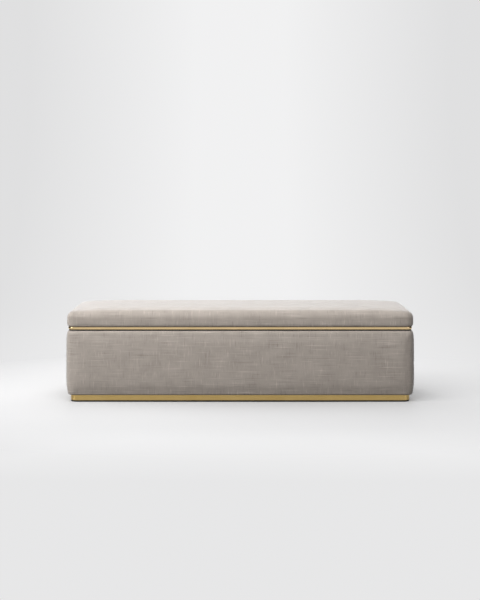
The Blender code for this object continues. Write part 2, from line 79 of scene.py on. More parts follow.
# %% Make the camera
PICTURE_WIDTH = 480
PICTURE_HEIGHT = 600
FOCAL_LENGTH = 1075.5
HORIZON_ROW = 178.2
MIDDLE_COLUMN = 240.15
EYE_HEIGHT = 1.026
EYE_FROM_FRONT = 4.91


def make_camera():
    """A level camera in front of the bench, with a shifted lens."""
    lens = bpy.data.cameras.new("camera")
    lens.lens = FOCAL_LENGTH / PICTURE_HEIGHT * lens.sensor_width
    lens.shift_x = (PICTURE_WIDTH / 2 - MIDDLE_COLUMN) / PICTURE_HEIGHT
    lens.shift_y = (HORIZON_ROW - PICTURE_HEIGHT / 2) / PICTURE_HEIGHT
    camera = bpy.data.objects.new("camera", lens)
    camera.location = (0, cad_box[0][1] - EYE_FROM_FRONT, EYE_HEIGHT)
    camera.rotation_euler = (math.pi / 2, 0, 0)
    scene.collection.objects.link(camera)
    scene.camera = camera
    return lens


lens = make_camera()
print("camera: lens", round(lens.lens, 1), "mm, shifted by", round(lens.shift_y, 3))

# %% [markdown]
# ## Node helpers
# Each finish below is a small network of shader nodes. Helpers keep the networks short: one adds a node and
# fills or links its sockets, and the others use it for arithmetic, noise, ranges and mixes. A node group is
# a network with named sockets of its own, which several finishes can share.

# %% Define the node helpers
def put(tree, kind, inputs=None, **settings):
    """Adds a node with its settings, and links or fills the inputs given."""
    node = tree.nodes.new(kind)
    for key, value in settings.items():
        setattr(node, key, value)
    for key, value in (inputs or {}).items():
        if isinstance(value, bpy.types.NodeSocket):
            tree.links.new(value, node.inputs[key])
        else:
            node.inputs[key].default_value = value
    return node


def calc(tree, operation, *values):
    """The result of an arithmetic node."""
    return put(tree, "ShaderNodeMath", dict(enumerate(values)), operation=operation).outputs[0]


def stretched(tree, coordinates, scale):
    """Coordinates scaled by their own amount along each axis."""
    values = {0: coordinates, 1: scale}
    return put(tree, "ShaderNodeVectorMath", values, operation="MULTIPLY").outputs[0]


def cloudy(tree, coordinates, scale=1.0, detail=2.0):
    """A noise value of about 0 to 1."""
    values = {"Vector": coordinates, "Scale": scale, "Detail": detail}
    return put(tree, "ShaderNodeTexNoise", values).outputs["Fac"]


def ranged(tree, value, low, high, new_low=0.0, new_high=1.0):
    """A value moved from one range to another, and kept inside it."""
    limits = {"Value": value, "From Min": low, "From Max": high, "To Min": new_low, "To Max": new_high}
    return put(tree, "ShaderNodeMapRange", limits).outputs["Result"]


def blended(tree, share, first, second):
    """A mix of two colours."""
    values = {0: share, 6: first, 7: second}
    return put(tree, "ShaderNodeMix", values, data_type="RGBA").outputs[2]


def start_group(name, inputs, outputs):
    """A new node group: its tree, its input sockets by name, and its output node."""
    tree = bpy.data.node_groups.new(name, "ShaderNodeTree")
    for label, kind, value in inputs:
        socket = tree.interface.new_socket(label, in_out="INPUT", socket_type=kind)
        if value is not None:
            socket.default_value = value
    for label in outputs:
        tree.interface.new_socket(label, in_out="OUTPUT", socket_type="NodeSocketFloat")
    sockets = put(tree, "NodeGroupInput").outputs
    return tree, sockets, put(tree, "NodeGroupOutput").inputs


print("node helpers: ready")

# %% [markdown]
# ## Woven cloth, as a node group
# The bench's cover is a slubby linen: thick and thin threads cross each other, and some swell into short
# pale or dark streaks. The weave could be a picture, but a picture blurs close up, so it is worked out from
# the cloth's own coordinates: metres along the weft and the warp, which each cloth piece carries as its UV
# map. The finer lining cloth takes the same group with other values.

# %% Build the woven cloth group
WAVER = 0.0016
WAVER_SCALE = 55.0
NOISE_MIDDLE = (0.5, 0.5, 0.5)
LEVEL_STRETCH = 0.28
UPRIGHT_START = 7.3
UPRIGHT_SHARE = 0.7
PALE_SLUBS = (0.62, 0.80)
DARK_SLUBS = (0.20, 0.37)
DARK_SHARE = 0.8
MOTTLE_SCALE = 14.0
MOTTLE_RANGE = (0.3, 0.7)
MIDDLE_TONE = 0.5
SLUB_TONE = 0.42
MOTTLE_TONE = 0.08
CROSSING_TONE = 0.06
RELIEF_SHARE = 0.35


def wavering_place(tree, cloth):
    """Cloth coordinates that drift a little, because real threads don't run straight."""
    wander = put(tree, "ShaderNodeTexNoise", {"Vector": cloth, "Scale": WAVER_SCALE, "Detail": 1.0})
    both_ways = {0: wander.outputs["Color"], 1: NOISE_MIDDLE}
    drift = put(tree, "ShaderNodeVectorMath", both_ways, operation="SUBTRACT").outputs[0]
    moved = {0: drift, 1: (WAVER, WAVER, 0), 2: cloth}
    return put(tree, "ShaderNodeVectorMath", moved, operation="MULTIPLY_ADD").outputs[0]


def thread_crossing(tree, place, threads):
    """The rise and fall of weft and warp over each other."""
    parts = put(tree, "ShaderNodeSeparateXYZ", {0: place}).outputs
    turns = calc(tree, "MULTIPLY", threads, math.pi)
    waves = [calc(tree, "SINE", calc(tree, "MULTIPLY", parts[axis], turns)) for axis in ("X", "Y")]
    return calc(tree, "MULTIPLY", *waves)


def slub_streaks(tree, place, x_scale, y_scale, start, share):
    """Pale streaks less dark ones, where noise that is stretched along the threads is high or low."""
    scale = put(tree, "ShaderNodeCombineXYZ", {0: x_scale, 1: y_scale}).outputs[0]
    values = {0: place, 1: scale, 2: (start, start, start)}
    laid = put(tree, "ShaderNodeVectorMath", values, operation="MULTIPLY_ADD").outputs[0]
    thick = cloudy(tree, laid, detail=1.0)
    pale = ranged(tree, thick, *PALE_SLUBS, 0.0, share)
    dark = ranged(tree, thick, *DARK_SLUBS, DARK_SHARE * share, 0.0)
    return calc(tree, "SUBTRACT", pale, dark)


def make_cloth_group():
    """Tone and relief of a plain weave with slubs."""
    tree, given, made = start_group(
        "woven_cloth",
        [
            ("Cloth", "NodeSocketVector", None),
            ("Threads", "NodeSocketFloat", 620.0),
            ("Slub Length", "NodeSocketFloat", 0.045),
            ("Slub Width", "NodeSocketFloat", 0.0040),
        ],
        ["Tone", "Relief"],
    )
    place = wavering_place(tree, given["Cloth"])
    crossing = thread_crossing(tree, place, given["Threads"])
    upright = calc(tree, "DIVIDE", 1.0, given["Slub Length"])
    level = calc(tree, "DIVIDE", LEVEL_STRETCH, given["Slub Length"])
    across = calc(tree, "DIVIDE", 1.0, given["Slub Width"])
    level_slubs = slub_streaks(tree, place, level, across, 0.0, 1.0)
    upright_slubs = slub_streaks(tree, place, across, upright, UPRIGHT_START, UPRIGHT_SHARE)
    slubs = calc(tree, "ADD", level_slubs, upright_slubs)

    clouds = cloudy(tree, given["Cloth"], MOTTLE_SCALE, detail=3.0)
    mottle = ranged(tree, clouds, *MOTTLE_RANGE, -1.0, 1.0)
    tone = calc(tree, "MULTIPLY_ADD", slubs, SLUB_TONE, MIDDLE_TONE)
    tone = calc(tree, "MULTIPLY_ADD", mottle, MOTTLE_TONE, tone)
    tree.links.new(calc(tree, "MULTIPLY_ADD", crossing, CROSSING_TONE, tone), made["Tone"])
    relief = calc(tree, "MULTIPLY_ADD", crossing, RELIEF_SHARE, MIDDLE_TONE)
    tree.links.new(calc(tree, "MULTIPLY_ADD", slubs, RELIEF_SHARE, relief), made["Relief"])
    return tree


woven_cloth = make_cloth_group()
print("woven_cloth:", len(woven_cloth.nodes), "nodes")

# %% [markdown]
# ## Wood grain and handling marks, as node groups
# The carcass is plain plywood and pine. Both show long streaks along the board, so one group stretches
# noise along a chosen axis. Metal, enamel, rubber and plastic pick up faint smudges and fine lines with
# use, and a second group makes those. Finishes use them to vary colour, roughness and relief.

# %% Build the wood grain and wear groups
RING_TURNS = 38.0
RING_TONE = 0.22
FIBRE_SCALE = 9.0
FIBRE_TONE = 0.5
LEAST_TONE = 0.25
SMUDGE_SCALE = 11.0
SMUDGE_RANGE = (0.3, 0.72)
LINE_STRETCH = (14.0, 900.0, 900.0)


def make_grain_group():
    """Tone and relief of streaks along the stretched axis of the coordinates given."""
    tree, given, made = start_group("wood_grain", [("Board", "NodeSocketVector", None)], ["Tone", "Relief"])
    rings = cloudy(tree, given["Board"])
    bands = calc(tree, "SINE", calc(tree, "MULTIPLY", rings, RING_TURNS))
    fibres = cloudy(tree, given["Board"], FIBRE_SCALE, detail=4.0)
    tone = calc(tree, "MULTIPLY_ADD", bands, RING_TONE, LEAST_TONE)
    tone = calc(tree, "MULTIPLY_ADD", fibres, FIBRE_TONE, tone)
    tree.links.new(tone, made["Tone"])
    tree.links.new(fibres, made["Relief"])
    return tree


def make_wear_group():
    """Smudges that spread over a surface and fine lines across it."""
    inputs = [("Surface", "NodeSocketVector", None)]
    tree, given, made = start_group("handling_marks", inputs, ["Smudge", "Lines"])
    smudge = ranged(tree, cloudy(tree, given["Surface"], SMUDGE_SCALE, detail=4.0), *SMUDGE_RANGE)
    lines = cloudy(tree, stretched(tree, given["Surface"], LINE_STRETCH), detail=1.0)
    tree.links.new(smudge, made["Smudge"])
    tree.links.new(lines, made["Lines"])
    return tree


wood_grain = make_grain_group()
handling_marks = make_wear_group()
print("wood_grain:", len(wood_grain.nodes), "nodes; handling_marks:", len(handling_marks.nodes), "nodes")

# %% [markdown]
# ## Cloth finishes
# The linen has a soft nap that lights up where it turns away from the eye, so its shader gets sheen. The
# lining is a thin dark cotton, with a finer weave and almost no nap. Each mixes two thread colours by the
# weave's tone.

# %% Make the cloth finishes
CLOTH_MAP = "cloth"
LINEN_DARK = (0.215, 0.185, 0.160, 1)
LINEN_LIGHT = (0.630, 0.565, 0.510, 1)
LINING_DARK = (0.030, 0.029, 0.029, 1)
LINING_LIGHT = (0.075, 0.071, 0.068, 1)
SHEEN_ROUGHNESS = 0.35
SHEEN_TINT = (0.97, 0.985, 1.0, 1)
CLOTH_SHINE = 0.25
CLOTH_ROUGHNESS = (0.95, 0.85)


def start_finish(name):
    """A new material: its tree and its surface shader."""
    material = bpy.data.materials.new(name)
    material.use_nodes = True
    return material, material.node_tree, material.node_tree.nodes["Principled BSDF"]


def relief_to_normal(tree, surface, height, depth):
    """Feeds a height in 0 to 1 to the surface as a relief of the given depth."""
    bump = put(tree, "ShaderNodeBump", {"Height": height, "Distance": depth, "Strength": 1.0})
    tree.links.new(bump.outputs[0], surface.inputs["Normal"])


def make_cloth(name, dark, light, weave, sheen, depth):
    """A woven finish from two thread colours."""
    material, tree, surface = start_finish(name)
    uv = put(tree, "ShaderNodeUVMap", uv_map=CLOTH_MAP)
    cloth = put(tree, "ShaderNodeGroup", node_tree=woven_cloth)
    tree.links.new(uv.outputs[0], cloth.inputs["Cloth"])
    for label, value in weave.items():
        cloth.inputs[label].default_value = value
    tree.links.new(blended(tree, cloth.outputs["Tone"], dark, light), surface.inputs["Base Color"])
    rough = ranged(tree, cloth.outputs["Tone"], 0.0, 1.0, *CLOTH_ROUGHNESS)
    tree.links.new(rough, surface.inputs["Roughness"])
    relief_to_normal(tree, surface, cloth.outputs["Relief"], depth)
    surface.inputs["Sheen Weight"].default_value = sheen
    surface.inputs["Sheen Roughness"].default_value = SHEEN_ROUGHNESS
    surface.inputs["Sheen Tint"].default_value = SHEEN_TINT
    surface.inputs["Specular IOR Level"].default_value = CLOTH_SHINE
    return material


plain_weave = {}
fine_weave = {"Threads": 1100.0, "Slub Length": 0.03, "Slub Width": 0.0012}
linen = make_cloth("linen", LINEN_DARK, LINEN_LIGHT, plain_weave, sheen=0.9, depth=0.0005)
lining_cotton = make_cloth("lining_cotton", LINING_DARK, LINING_LIGHT, fine_weave, sheen=0.05, depth=0.0002)
print("cloth finishes:", linen.name, lining_cotton.name)

# %% [markdown]
# ## Hard finishes
# Brass is a metal, so its colour is the colour of its reflections. The plinth's band is brushed along its
# length, which draws its highlights out upwards. The moulding is polished, and its paler brass colour is a
# painted highlight. Steel hardware is plated, and the struts are black enamel. The boards are bare wood,
# because the upholstery hides them, apart from those that a gap shows: these get a dark stained colour that
# paints the shade in the gaps.

# %% Make the hard finishes
LINES_SHARE = 0.4
LINE_DEPTH = 0.00002
BRUSHED = 0.9
BRUSH_TURN = 0.25
BOARD_ROUGHNESS = (0.75, 0.6)
BOARD_RELIEF = 0.0002
FIBRE_RANGE = (0.2, 0.8)
PLY_GRAIN = (1.2, 9.0, 9.0)
PINE_GRAIN = (1.6, 14.0, 14.0)


def surface_coordinates(tree):
    """A piece's own coordinates, in metres."""
    return put(tree, "ShaderNodeTexCoord").outputs["Object"]


def strip_coordinates(tree):
    """Metres along and across a brass strip, from its UV map."""
    return put(tree, "ShaderNodeUVMap", uv_map=CLOTH_MAP).outputs[0]


def make_hard(
    name, dark, light, roughness, spread, metallic=0.0, depth=LINE_DEPTH, coordinates=surface_coordinates
):
    """A metal, enamel, rubber or plastic finish with faint handling marks."""
    material, tree, surface = start_finish(name)
    marks = put(tree, "ShaderNodeGroup", node_tree=handling_marks)
    tree.links.new(coordinates(tree), marks.inputs["Surface"])
    tree.links.new(blended(tree, marks.outputs["Smudge"], dark, light), surface.inputs["Base Color"])
    uneven = calc(tree, "MULTIPLY_ADD", marks.outputs["Lines"], LINES_SHARE, marks.outputs["Smudge"])
    rough = ranged(tree, uneven, 0.0, 1 + LINES_SHARE, roughness, roughness + spread)
    tree.links.new(rough, surface.inputs["Roughness"])
    relief_to_normal(tree, surface, marks.outputs["Lines"], depth)
    surface.inputs["Metallic"].default_value = metallic
    return material


def make_wood(name, dark, light, grain):
    """A wood finish whose streaks run along X."""
    material, tree, surface = start_finish(name)
    board = put(tree, "ShaderNodeGroup", node_tree=wood_grain)
    tree.links.new(stretched(tree, surface_coordinates(tree), grain), board.inputs["Board"])
    tree.links.new(blended(tree, board.outputs["Tone"], dark, light), surface.inputs["Base Color"])
    rough = ranged(tree, board.outputs["Relief"], *FIBRE_RANGE, *BOARD_ROUGHNESS)
    tree.links.new(rough, surface.inputs["Roughness"])
    relief_to_normal(tree, surface, board.outputs["Relief"], BOARD_RELIEF)
    return material


BRASS = ((0.54, 0.378, 0.140, 1), (0.61, 0.440, 0.177, 1))
HIGHLIT_POLISHED = ((0.68, 0.51, 0.270, 1), (0.76, 0.57, 0.315, 1))
STEEL = ((0.50, 0.50, 0.50, 1), (0.62, 0.62, 0.61, 1))
ENAMEL = ((0.014, 0.014, 0.015, 1), (0.024, 0.024, 0.025, 1))
RUBBER = ((0.022, 0.022, 0.022, 1), (0.036, 0.035, 0.034, 1))
PLASTIC = ((0.03, 0.03, 0.03, 1), (0.05, 0.05, 0.05, 1))
PLY = ((0.42, 0.27, 0.14, 1), (0.68, 0.50, 0.31, 1))
GAP_SHADE_WOOD = ((0.022, 0.016, 0.012, 1), (0.050, 0.036, 0.026, 1))
PINE = ((0.50, 0.31, 0.15, 1), (0.76, 0.58, 0.37, 1))

on_strips = {"metallic": 1.0, "coordinates": strip_coordinates}
brass = make_hard("brass", *BRASS, roughness=0.30, spread=0.08, **on_strips)
brushed = brass.node_tree.nodes["Principled BSDF"].inputs
brushed["Anisotropic"].default_value = BRUSHED
brushed["Anisotropic Rotation"].default_value = BRUSH_TURN
# The moulding's paler brass colour is a painted highlight; its lower roughness is real polish.
polished_highlit_brass = make_hard("polished_highlit_brass", *HIGHLIT_POLISHED, roughness=0.20, spread=0.06, **on_strips)
steel = make_hard("steel", *STEEL, metallic=1.0, roughness=0.30, spread=0.12)
black_enamel = make_hard("black_enamel", *ENAMEL, roughness=0.28, spread=0.15)
rubber = make_hard("rubber", *RUBBER, roughness=0.80, spread=0.10, depth=0.0001)
glide_plastic = make_hard("glide_plastic", *PLASTIC, roughness=0.50, spread=0.15)
plywood = make_wood("plywood", *PLY, PLY_GRAIN)
# A dark wood colour, as painted shade on the boards that the gaps beside the brass show.
gap_shade_ply = make_wood("gap_shade_ply", *GAP_SHADE_WOOD, PLY_GRAIN)
pine = make_wood("pine", *PINE, PINE_GRAIN)
metals = (brass, polished_highlit_brass, steel)
others = (black_enamel, rubber, glide_plastic, plywood, gap_shade_ply, pine)
print("hard finishes:", ", ".join(finish.name for finish in metals + others))

# %% [markdown]
# ## Finishes on the solids
# A solid whose shape is right stays, and only its material changes. The imported record says which material
# slot each solid has, and a dictionary turns the slot's name into a finish. The lid board and the plinth's
# rails lie behind narrow gaps beside the brass, so they get a dark stained colour as painted shade, which
# keeps the gaps dark.

# %% Give the solids their finishes
FINISH_OF_SLOT = {
    "upholstery": linen,
    "lining": lining_cotton,
    "plywood": plywood,
    "pine": pine,
    "brass": brass,
    "steel": steel,
    "black_enamel": black_enamel,
    "rubber": rubber,
    "glide_plastic": glide_plastic,
}


def dress_solids():
    """Puts a finish in every material slot of the solids that has one."""
    dressed = 0
    for solid in frame["nodes"].values():
        for place in solid.material_slots:
            finish = FINISH_OF_SLOT.get(place.material.name.split(".")[0])
            if finish:
                place.material = finish
                dressed += 1
    return dressed


def shade_gap_solids(*names):
    """Gives solids that a gap shows a dark colour, as painted shade in the gap."""
    for name in names:
        for place in frame["nodes"][name].material_slots:
            place.material = gap_shade_ply


print("solids with a finish:", dress_solids(), "of", len(frame["nodes"]))
# Painted shade: the lid board and the plinth rails get the dark wood colour.
shade_gap_solids("lid_board", "plinth_rail_front", "plinth_rail_back", "plinth_rail_left", "plinth_rail_right")

# %% [markdown]
# ## Sizes taken from the solids
# A cover lies where its solid was, so its sizes come from the frame: the carcass under the foam, the walls
# of the storage space, a corner post and a rail of the plinth. Radii and thicknesses can't be read from a
# box, so they are named here with the values that the solids were made with.

# %% Read the sizes
GAP = 0.0003
CLOTH = 0.0015
LINING = 0.0012
BASE_CORNER = 0.040
BASE_SWELL = 0.004

base_low, base_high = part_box("base_cover")
post_inner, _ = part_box("corner_post_back_right")
_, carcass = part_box("floor_panel")
_, front_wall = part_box("front_panel")
_, rail_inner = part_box("plinth_rail_front")
inside_y = -front_wall.y
inside_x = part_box("right_panel")[0].x
upholstery = base_high.x - carcass.x
post_radius = BASE_CORNER - upholstery
hem_edge = -rail_inner.y - carcass.y
print("carcass:", tuple(carcass), "storage:", round(inside_x, 4), round(inside_y, 4))

# %% [markdown]
# ## Stations
# The covers, the moulding and the plinth band all run round a rectangle with rounded corners. Stations are
# points along such a path, each with its outward direction. Two rings with the same count of stations can
# be joined later, even if one of them runs along the stepped walls of the storage space.

# %% Define the stations
CORNERS = ((1, -1), (1, 1), (-1, 1), (-1, -1))
LEAST_RADIUS = 0.002
CORNER_STEPS = 12
SHORT_RUN = 36
LONG_RUN = 150


def corner_arc(reach_x, reach_y, radius, corner, steps=CORNER_STEPS):
    """Stations along one rounded corner."""
    side_x, side_y = CORNERS[corner]
    centre = Vector((side_x * (reach_x - radius), side_y * (reach_y - radius)))
    turns = [math.pi / 2 * (corner - 1 + step / steps) for step in range(steps + 1)]
    ways = [Vector((math.cos(turn), math.sin(turn))) for turn in turns]
    return [(centre + way * radius, way) for way in ways]


def with_runs(arcs):
    """The stations of four corners, with even steps along the straight runs between them."""
    stations = []
    for corner, arc in enumerate(arcs):
        start, way = arc[-1]
        stop = arcs[(corner + 1) % len(arcs)][0][0]
        count = LONG_RUN if corner % 2 else SHORT_RUN
        stations += arc
        stations += [(start.lerp(stop, step / count), way) for step in range(1, count)]
    return stations


def ring(reach_x, reach_y, radius):
    """Stations round a rounded rectangle, anticlockwise from the front right corner."""
    radius = max(radius, LEAST_RADIUS)
    return with_runs([corner_arc(reach_x, reach_y, radius, corner) for corner in range(len(CORNERS))])


def wall_ring(inside):
    """The same count of stations along the storage walls, stepped round the corner posts."""
    wall = Vector((inside_x - inside, inside_y - inside))
    step = Vector((post_inner.x - inside, post_inner.y - inside))
    half = CORNER_STEPS // 2
    arcs = []
    for corner, (side_x, side_y) in enumerate(CORNERS):
        path = [Vector((step.x, wall.y)), step, Vector((wall.x, step.y))]
        if corner % 2:
            path.reverse()
        first = [path[0].lerp(path[1], share / half) for share in range(half)]
        second = [path[1].lerp(path[2], share / half) for share in range(half + 1)]
        ways = [way for _, way in corner_arc(1, 1, 0, corner)]
        arcs.append([(Vector((side_x * p.x, side_y * p.y)), way) for p, way in zip(first + second, ways)])
    return with_runs(arcs)


def raised(stations, level):
    """A loop of points at one level from stations in plan."""
    return [(point.x, point.y, level) for point, _ in stations]


print("stations round a ring:", len(ring(carcass.x, carcass.y, post_radius)))

# %% [markdown]
# ## Lofts
# A loft joins matching loops of points into a skin of four-sided faces. For each corner of a face it also
# notes where it lies on the flat cloth, in metres, because the weave is worked out from that. Real cloth
# doesn't stretch much, so lengths along the skin are a good measure.

# %% Define the lofts
def lengths_along(points):
    """Distance from the first point to each point of a line."""
    line = np.array(points, float)
    return np.concatenate([[0], np.cumsum(np.linalg.norm(np.diff(line, axis=0), axis=1))])


def add_object(name, mesh, finish):
    """An object in the scene for a mesh, with a finish and smooth shading."""
    mesh.materials.append(finish)
    mesh.shade_smooth()
    piece = bpy.data.objects.new(name, mesh)
    scene.collection.objects.link(piece)
    return piece


def mesh_from_points(name, points, faces):
    """A mesh from points and the faces between them."""
    mesh = bpy.data.meshes.new(name)
    mesh.from_pydata(points, [], faces)
    return mesh


def add_mesh(name, points, faces, cloth, finish):
    """A piece with a finish, and the cloth's flat coordinates for each corner of each face."""
    mesh = mesh_from_points(name, points, faces)
    layer = mesh.uv_layers.new(name=CLOTH_MAP)
    layer.uv.foreach_set("vector", np.array(cloth, np.float32).ravel())
    return add_object(name, mesh, finish)


def cell_corners(column, row):
    """The corners of a grid's cell, in turning order."""
    return [(column, row), (column + 1, row), (column + 1, row + 1), (column, row + 1)]


def loft(name, loops, finish):
    """Joins matching loops into a closed skin: each loop closes on itself, and the last joins the first."""
    count = len(loops[0])
    around = max((lengths_along(list(loop) + [loop[0]]) for loop in loops), key=lambda line: line[-1])
    up = lengths_along([loop[0] for loop in loops] + [loops[0][0]])
    faces, cloth = [], []
    for row in range(len(loops)):
        for column in range(count):
            cell = cell_corners(column, row)
            faces.append(tuple(r % len(loops) * count + c % count for c, r in cell))
            cloth += [(around[c], up[r]) for c, r in cell]
    points = [point for loop in loops for point in loop]
    return add_mesh(name, points, faces, cloth, finish)


print("lofts: ready")

# %% [markdown]
# ## Foam that swells the cloth
# Foam presses against its cover, and the cover is held where it is tucked and stapled. Blender's cloth
# simulation does the same with pressure: held points stay, and the others move out until the cloth pulls
# back. Each piece starts a little small. Air would blow it up like a balloon and draw its edges in, but
# foam only pushes outwards, so each point keeps its move along its own outward direction, with a cap for
# the firmness of the foam. The cap can differ from point to point, so that the cloth gives less towards an
# edge where it is tucked.

# %% Define the swelling
SWELL_FRAMES = 12
SWELL_QUALITY = 4
SWELL_STIFFNESS = 60
LEAST_GIVE = 0.00001


def read_rows(values, name):
    """A vector of each point or direction in a mesh, one row each."""
    rows = np.empty(3 * len(values), np.float32)
    values.foreach_get(name, rows)
    return rows.reshape(-1, 3)


def simulated(piece, held, pressure):
    """The points of a piece after its cloth has swollen, while the held points stay."""
    group = piece.vertex_groups.new(name="held")
    group.add(list(held), 1.0, "REPLACE")
    step = piece.modifiers.new("swell", "CLOTH")
    step.settings.vertex_group_mass = group.name
    step.settings.use_pressure = True
    step.settings.uniform_pressure_force = pressure
    step.settings.quality = SWELL_QUALITY
    step.settings.effector_weights.gravity = 0
    step.settings.tension_stiffness = SWELL_STIFFNESS
    step.settings.compression_stiffness = SWELL_STIFFNESS
    for number in range(1, SWELL_FRAMES + 1):
        scene.frame_set(number)
    result = piece.evaluated_get(bpy.context.evaluated_depsgraph_get()).data
    swollen = read_rows(result.vertices, "co")
    piece.modifiers.remove(step)
    piece.vertex_groups.remove(group)
    scene.frame_set(1)
    return swollen


def swell(piece, held, pressure, most):
    """Swells a piece by simulation, outwards and under a soft cap, and returns the furthest move."""
    start = read_rows(piece.data.vertices, "co")
    outward = read_rows(piece.data.vertex_normals, "vector")
    move = np.sum((simulated(piece, held, pressure) - start) * outward, axis=1)
    capped = most * np.tanh(np.maximum(move, 0) / np.maximum(most, LEAST_GIVE))
    piece.data.vertices.foreach_set("co", (start + outward * capped[:, None]).ravel())
    piece.data.update()
    return float(capped.max())


print("swelling:", f"{SWELL_FRAMES} frames")

# %% [markdown]
# ## The upholstered base
# On the real bench, foam is glued round the carcass, and the linen is pulled over it, tucked under the
# bottom and turned in over the rim. A box with rounded edges would look moulded, so the section follows how
# the cloth lies: it rolls in at both edges, swells between them, and wanders by a fraction of a millimetre
# where the foam is uneven and the staples pull. The section closes behind the foam, so the piece is one
# solid.

# %% Make the base
RIM_ROLL = (0.009, 0.022)
FOOT_ROLL = (0.006, 0.008)
ROLL_STEPS = 8
SWELL_STEPS = 26
TURN_IN = 0.022
TURN_IN_EDGE = 0.003
TURN_IN_STEPS = 3
UNEVEN = 0.0007
UNEVEN_SCALE = 6.0
PULL = 0.0007
PULL_SCALE = 26.0
PULL_REACH = 0.028
RIM_PULL_SHARE = 0.7
BASE_FOAM_GIVE = 0.004
BASE_PRESSURE = 4.0
BASE_START = 0.0025
TOP_FALL = 0.0028
FOOT_FALL = 0.0068
FALL_POWER = 5

rim = base_high.z
foot = base_low.z


def quarter(steps):
    """Angles of a quarter turn."""
    return [math.pi / 2 * step / steps for step in range(steps + 1)]


def fall_share(level):
    """How far a level is from the side's middle, as a share that grows fast near the edges."""
    return abs(2 * (level - foot) / (rim - foot) - 1) ** FALL_POWER


def side_offset(level):
    """Offset from the carcass of the side at a level, before it swells."""
    fall = TOP_FALL if 2 * level > rim + foot else FOOT_FALL
    return upholstery - BASE_SWELL + BASE_START - fall * fall_share(level)


def rolled(inward, tall):
    """Steps of a rolled edge: how far in from the side, and how far past its end."""
    return [(inward * (1 - math.sin(t)), tall * math.cos(t)) for t in quarter(ROLL_STEPS)]


def side_profile():
    """Offsets from the carcass and levels, up the base's swollen side."""
    low, high = foot + FOOT_ROLL[1], rim - RIM_ROLL[1]
    levels = [low + (high - low) * step / SWELL_STEPS for step in range(1, SWELL_STEPS)]
    profile = [(side_offset(low - drop) - inset, low - drop) for inset, drop in rolled(*FOOT_ROLL)]
    profile += [(side_offset(level), level) for level in levels]
    roll = reversed(rolled(*RIM_ROLL))
    return profile + [(side_offset(high + rise) - inset, high + rise) for inset, rise in roll]


def unevenness(point, level):
    """How far the cloth stands proud of its section at a place on the side."""
    place = Vector((point.x, point.y, level))
    broad = noise.noise(place * UNEVEN_SCALE)
    tuck = math.exp(-(level - foot) / PULL_REACH) + RIM_PULL_SHARE * math.exp(-(rim - level) / PULL_REACH)
    return UNEVEN * broad + PULL * tuck * noise.noise(Vector((point.x, point.y, 0)) * PULL_SCALE)


def side_loop(offset, level):
    """One loop round the base's side, with its unevenness."""
    stations = ring(carcass.x + offset, carcass.y + offset, post_radius + offset)
    return [(*(point + way * unevenness(point, level)), level) for point, way in stations]


def plain_loop(offset, level):
    """One even loop at an offset from the carcass."""
    return raised(ring(carcass.x + offset, carcass.y + offset, post_radius + offset), level)


def make_base():
    """The cover over its foam, from the hem below to the turned-in edge above, and its held points."""
    over_lining = GAP + LINING + GAP
    loops = [plain_loop(hem_edge, foot), plain_loop(0, foot)]
    free_from = len(loops) + 1
    loops += [side_loop(offset, level) for offset, level in side_profile()]
    free_to = len(loops) - 1
    turn_in = over_lining + CLOTH
    for turn in quarter(TURN_IN_STEPS):
        inside = turn_in - TURN_IN_EDGE * (1 - math.sin(turn))
        loops.append(raised(wall_ring(inside), rim - TURN_IN_EDGE * (1 - math.cos(turn))))
    loops += [raised(wall_ring(inside), rim - TURN_IN) for inside in (turn_in, over_lining)]
    loops.append(raised(wall_ring(over_lining), rim - CLOTH))
    back = ((GAP, rim - CLOTH), (GAP, foot + CLOTH), (hem_edge, foot + CLOTH))
    loops += [plain_loop(offset, level) for offset, level in back]
    piece = loft("base_upholstery", loops, linen)
    count = len(loops[0])
    held = [*range(free_from * count), *range(free_to * count, len(loops) * count)]
    return piece, held


base, held_points = make_base()
shares = np.array([fall_share(vertex.co.z) for vertex in base.data.vertices])
swollen_by = swell(base, held_points, BASE_PRESSURE, BASE_FOAM_GIVE * (1 - np.minimum(shares, 1)))
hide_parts("base_cover", "front_foam", "back_foam", "left_foam", "right_foam")
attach(base, "box")
print("base:", len(base.data.polygons), "faces, swollen by up to", round(swollen_by, 4))

# %% [markdown]
# ## The top of the lid cushion
# The cushion is foam on a thin board, with the linen pulled over it. A loft would bunch its faces in the
# middle of the top, so the skin starts as the faces of a box, cut into a grid. Each point is then drawn in
# to a rounded box: it moves along the line from the nearest point of a smaller box inside.

# %% Shape the cushion's top
CUSHION_ROUND = 0.038
CUSHION_CROWN = 0.0085
CROWN_POWER = 3
CUSHION_FOAM_GIVE = 0.004
GRID_STEP = 0.010
ROUND_CELLS = 6

cushion_low, cushion_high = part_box("cushion_cover")
cushion_x, cushion_y = cushion_high.x, cushion_high.y
shoulder = cushion_high.z - CUSHION_CROWN


def grid_lines(reach):
    """Places of the grid's lines across a box, closer where it will be rounded, and their cloth lengths."""
    flat = reach - CUSHION_ROUND
    count = round(2 * flat / GRID_STEP)
    turns = [math.pi / 4 * step / ROUND_CELLS for step in range(1, ROUND_CELLS + 1)]
    inner = [flat * (2 * step / count - 1) for step in range(count + 1)]
    outer = [(flat + CUSHION_ROUND * math.tan(turn), flat + CUSHION_ROUND * turn) for turn in turns]
    places = [-place for place, _ in outer[::-1]] + inner + [place for place, _ in outer]
    lengths = [-length for _, length in outer[::-1]] + inner + [length for _, length in outer]
    return places, lengths


def crown_share(place, reach):
    """How much of the crown is reached across the top: none at the edge, all of it half a depth in."""
    short = 1 - min(1.0, (reach - abs(place)) / cushion_y)
    return 1 - short ** 2


def nearest_inside(x, y):
    """The nearest place of the flat top, inside its rounded edges."""
    flats = (cushion_x - CUSHION_ROUND, cushion_y - CUSHION_ROUND)
    return [max(-flat, min(flat, place)) for place, flat in zip((x, y), flats)]


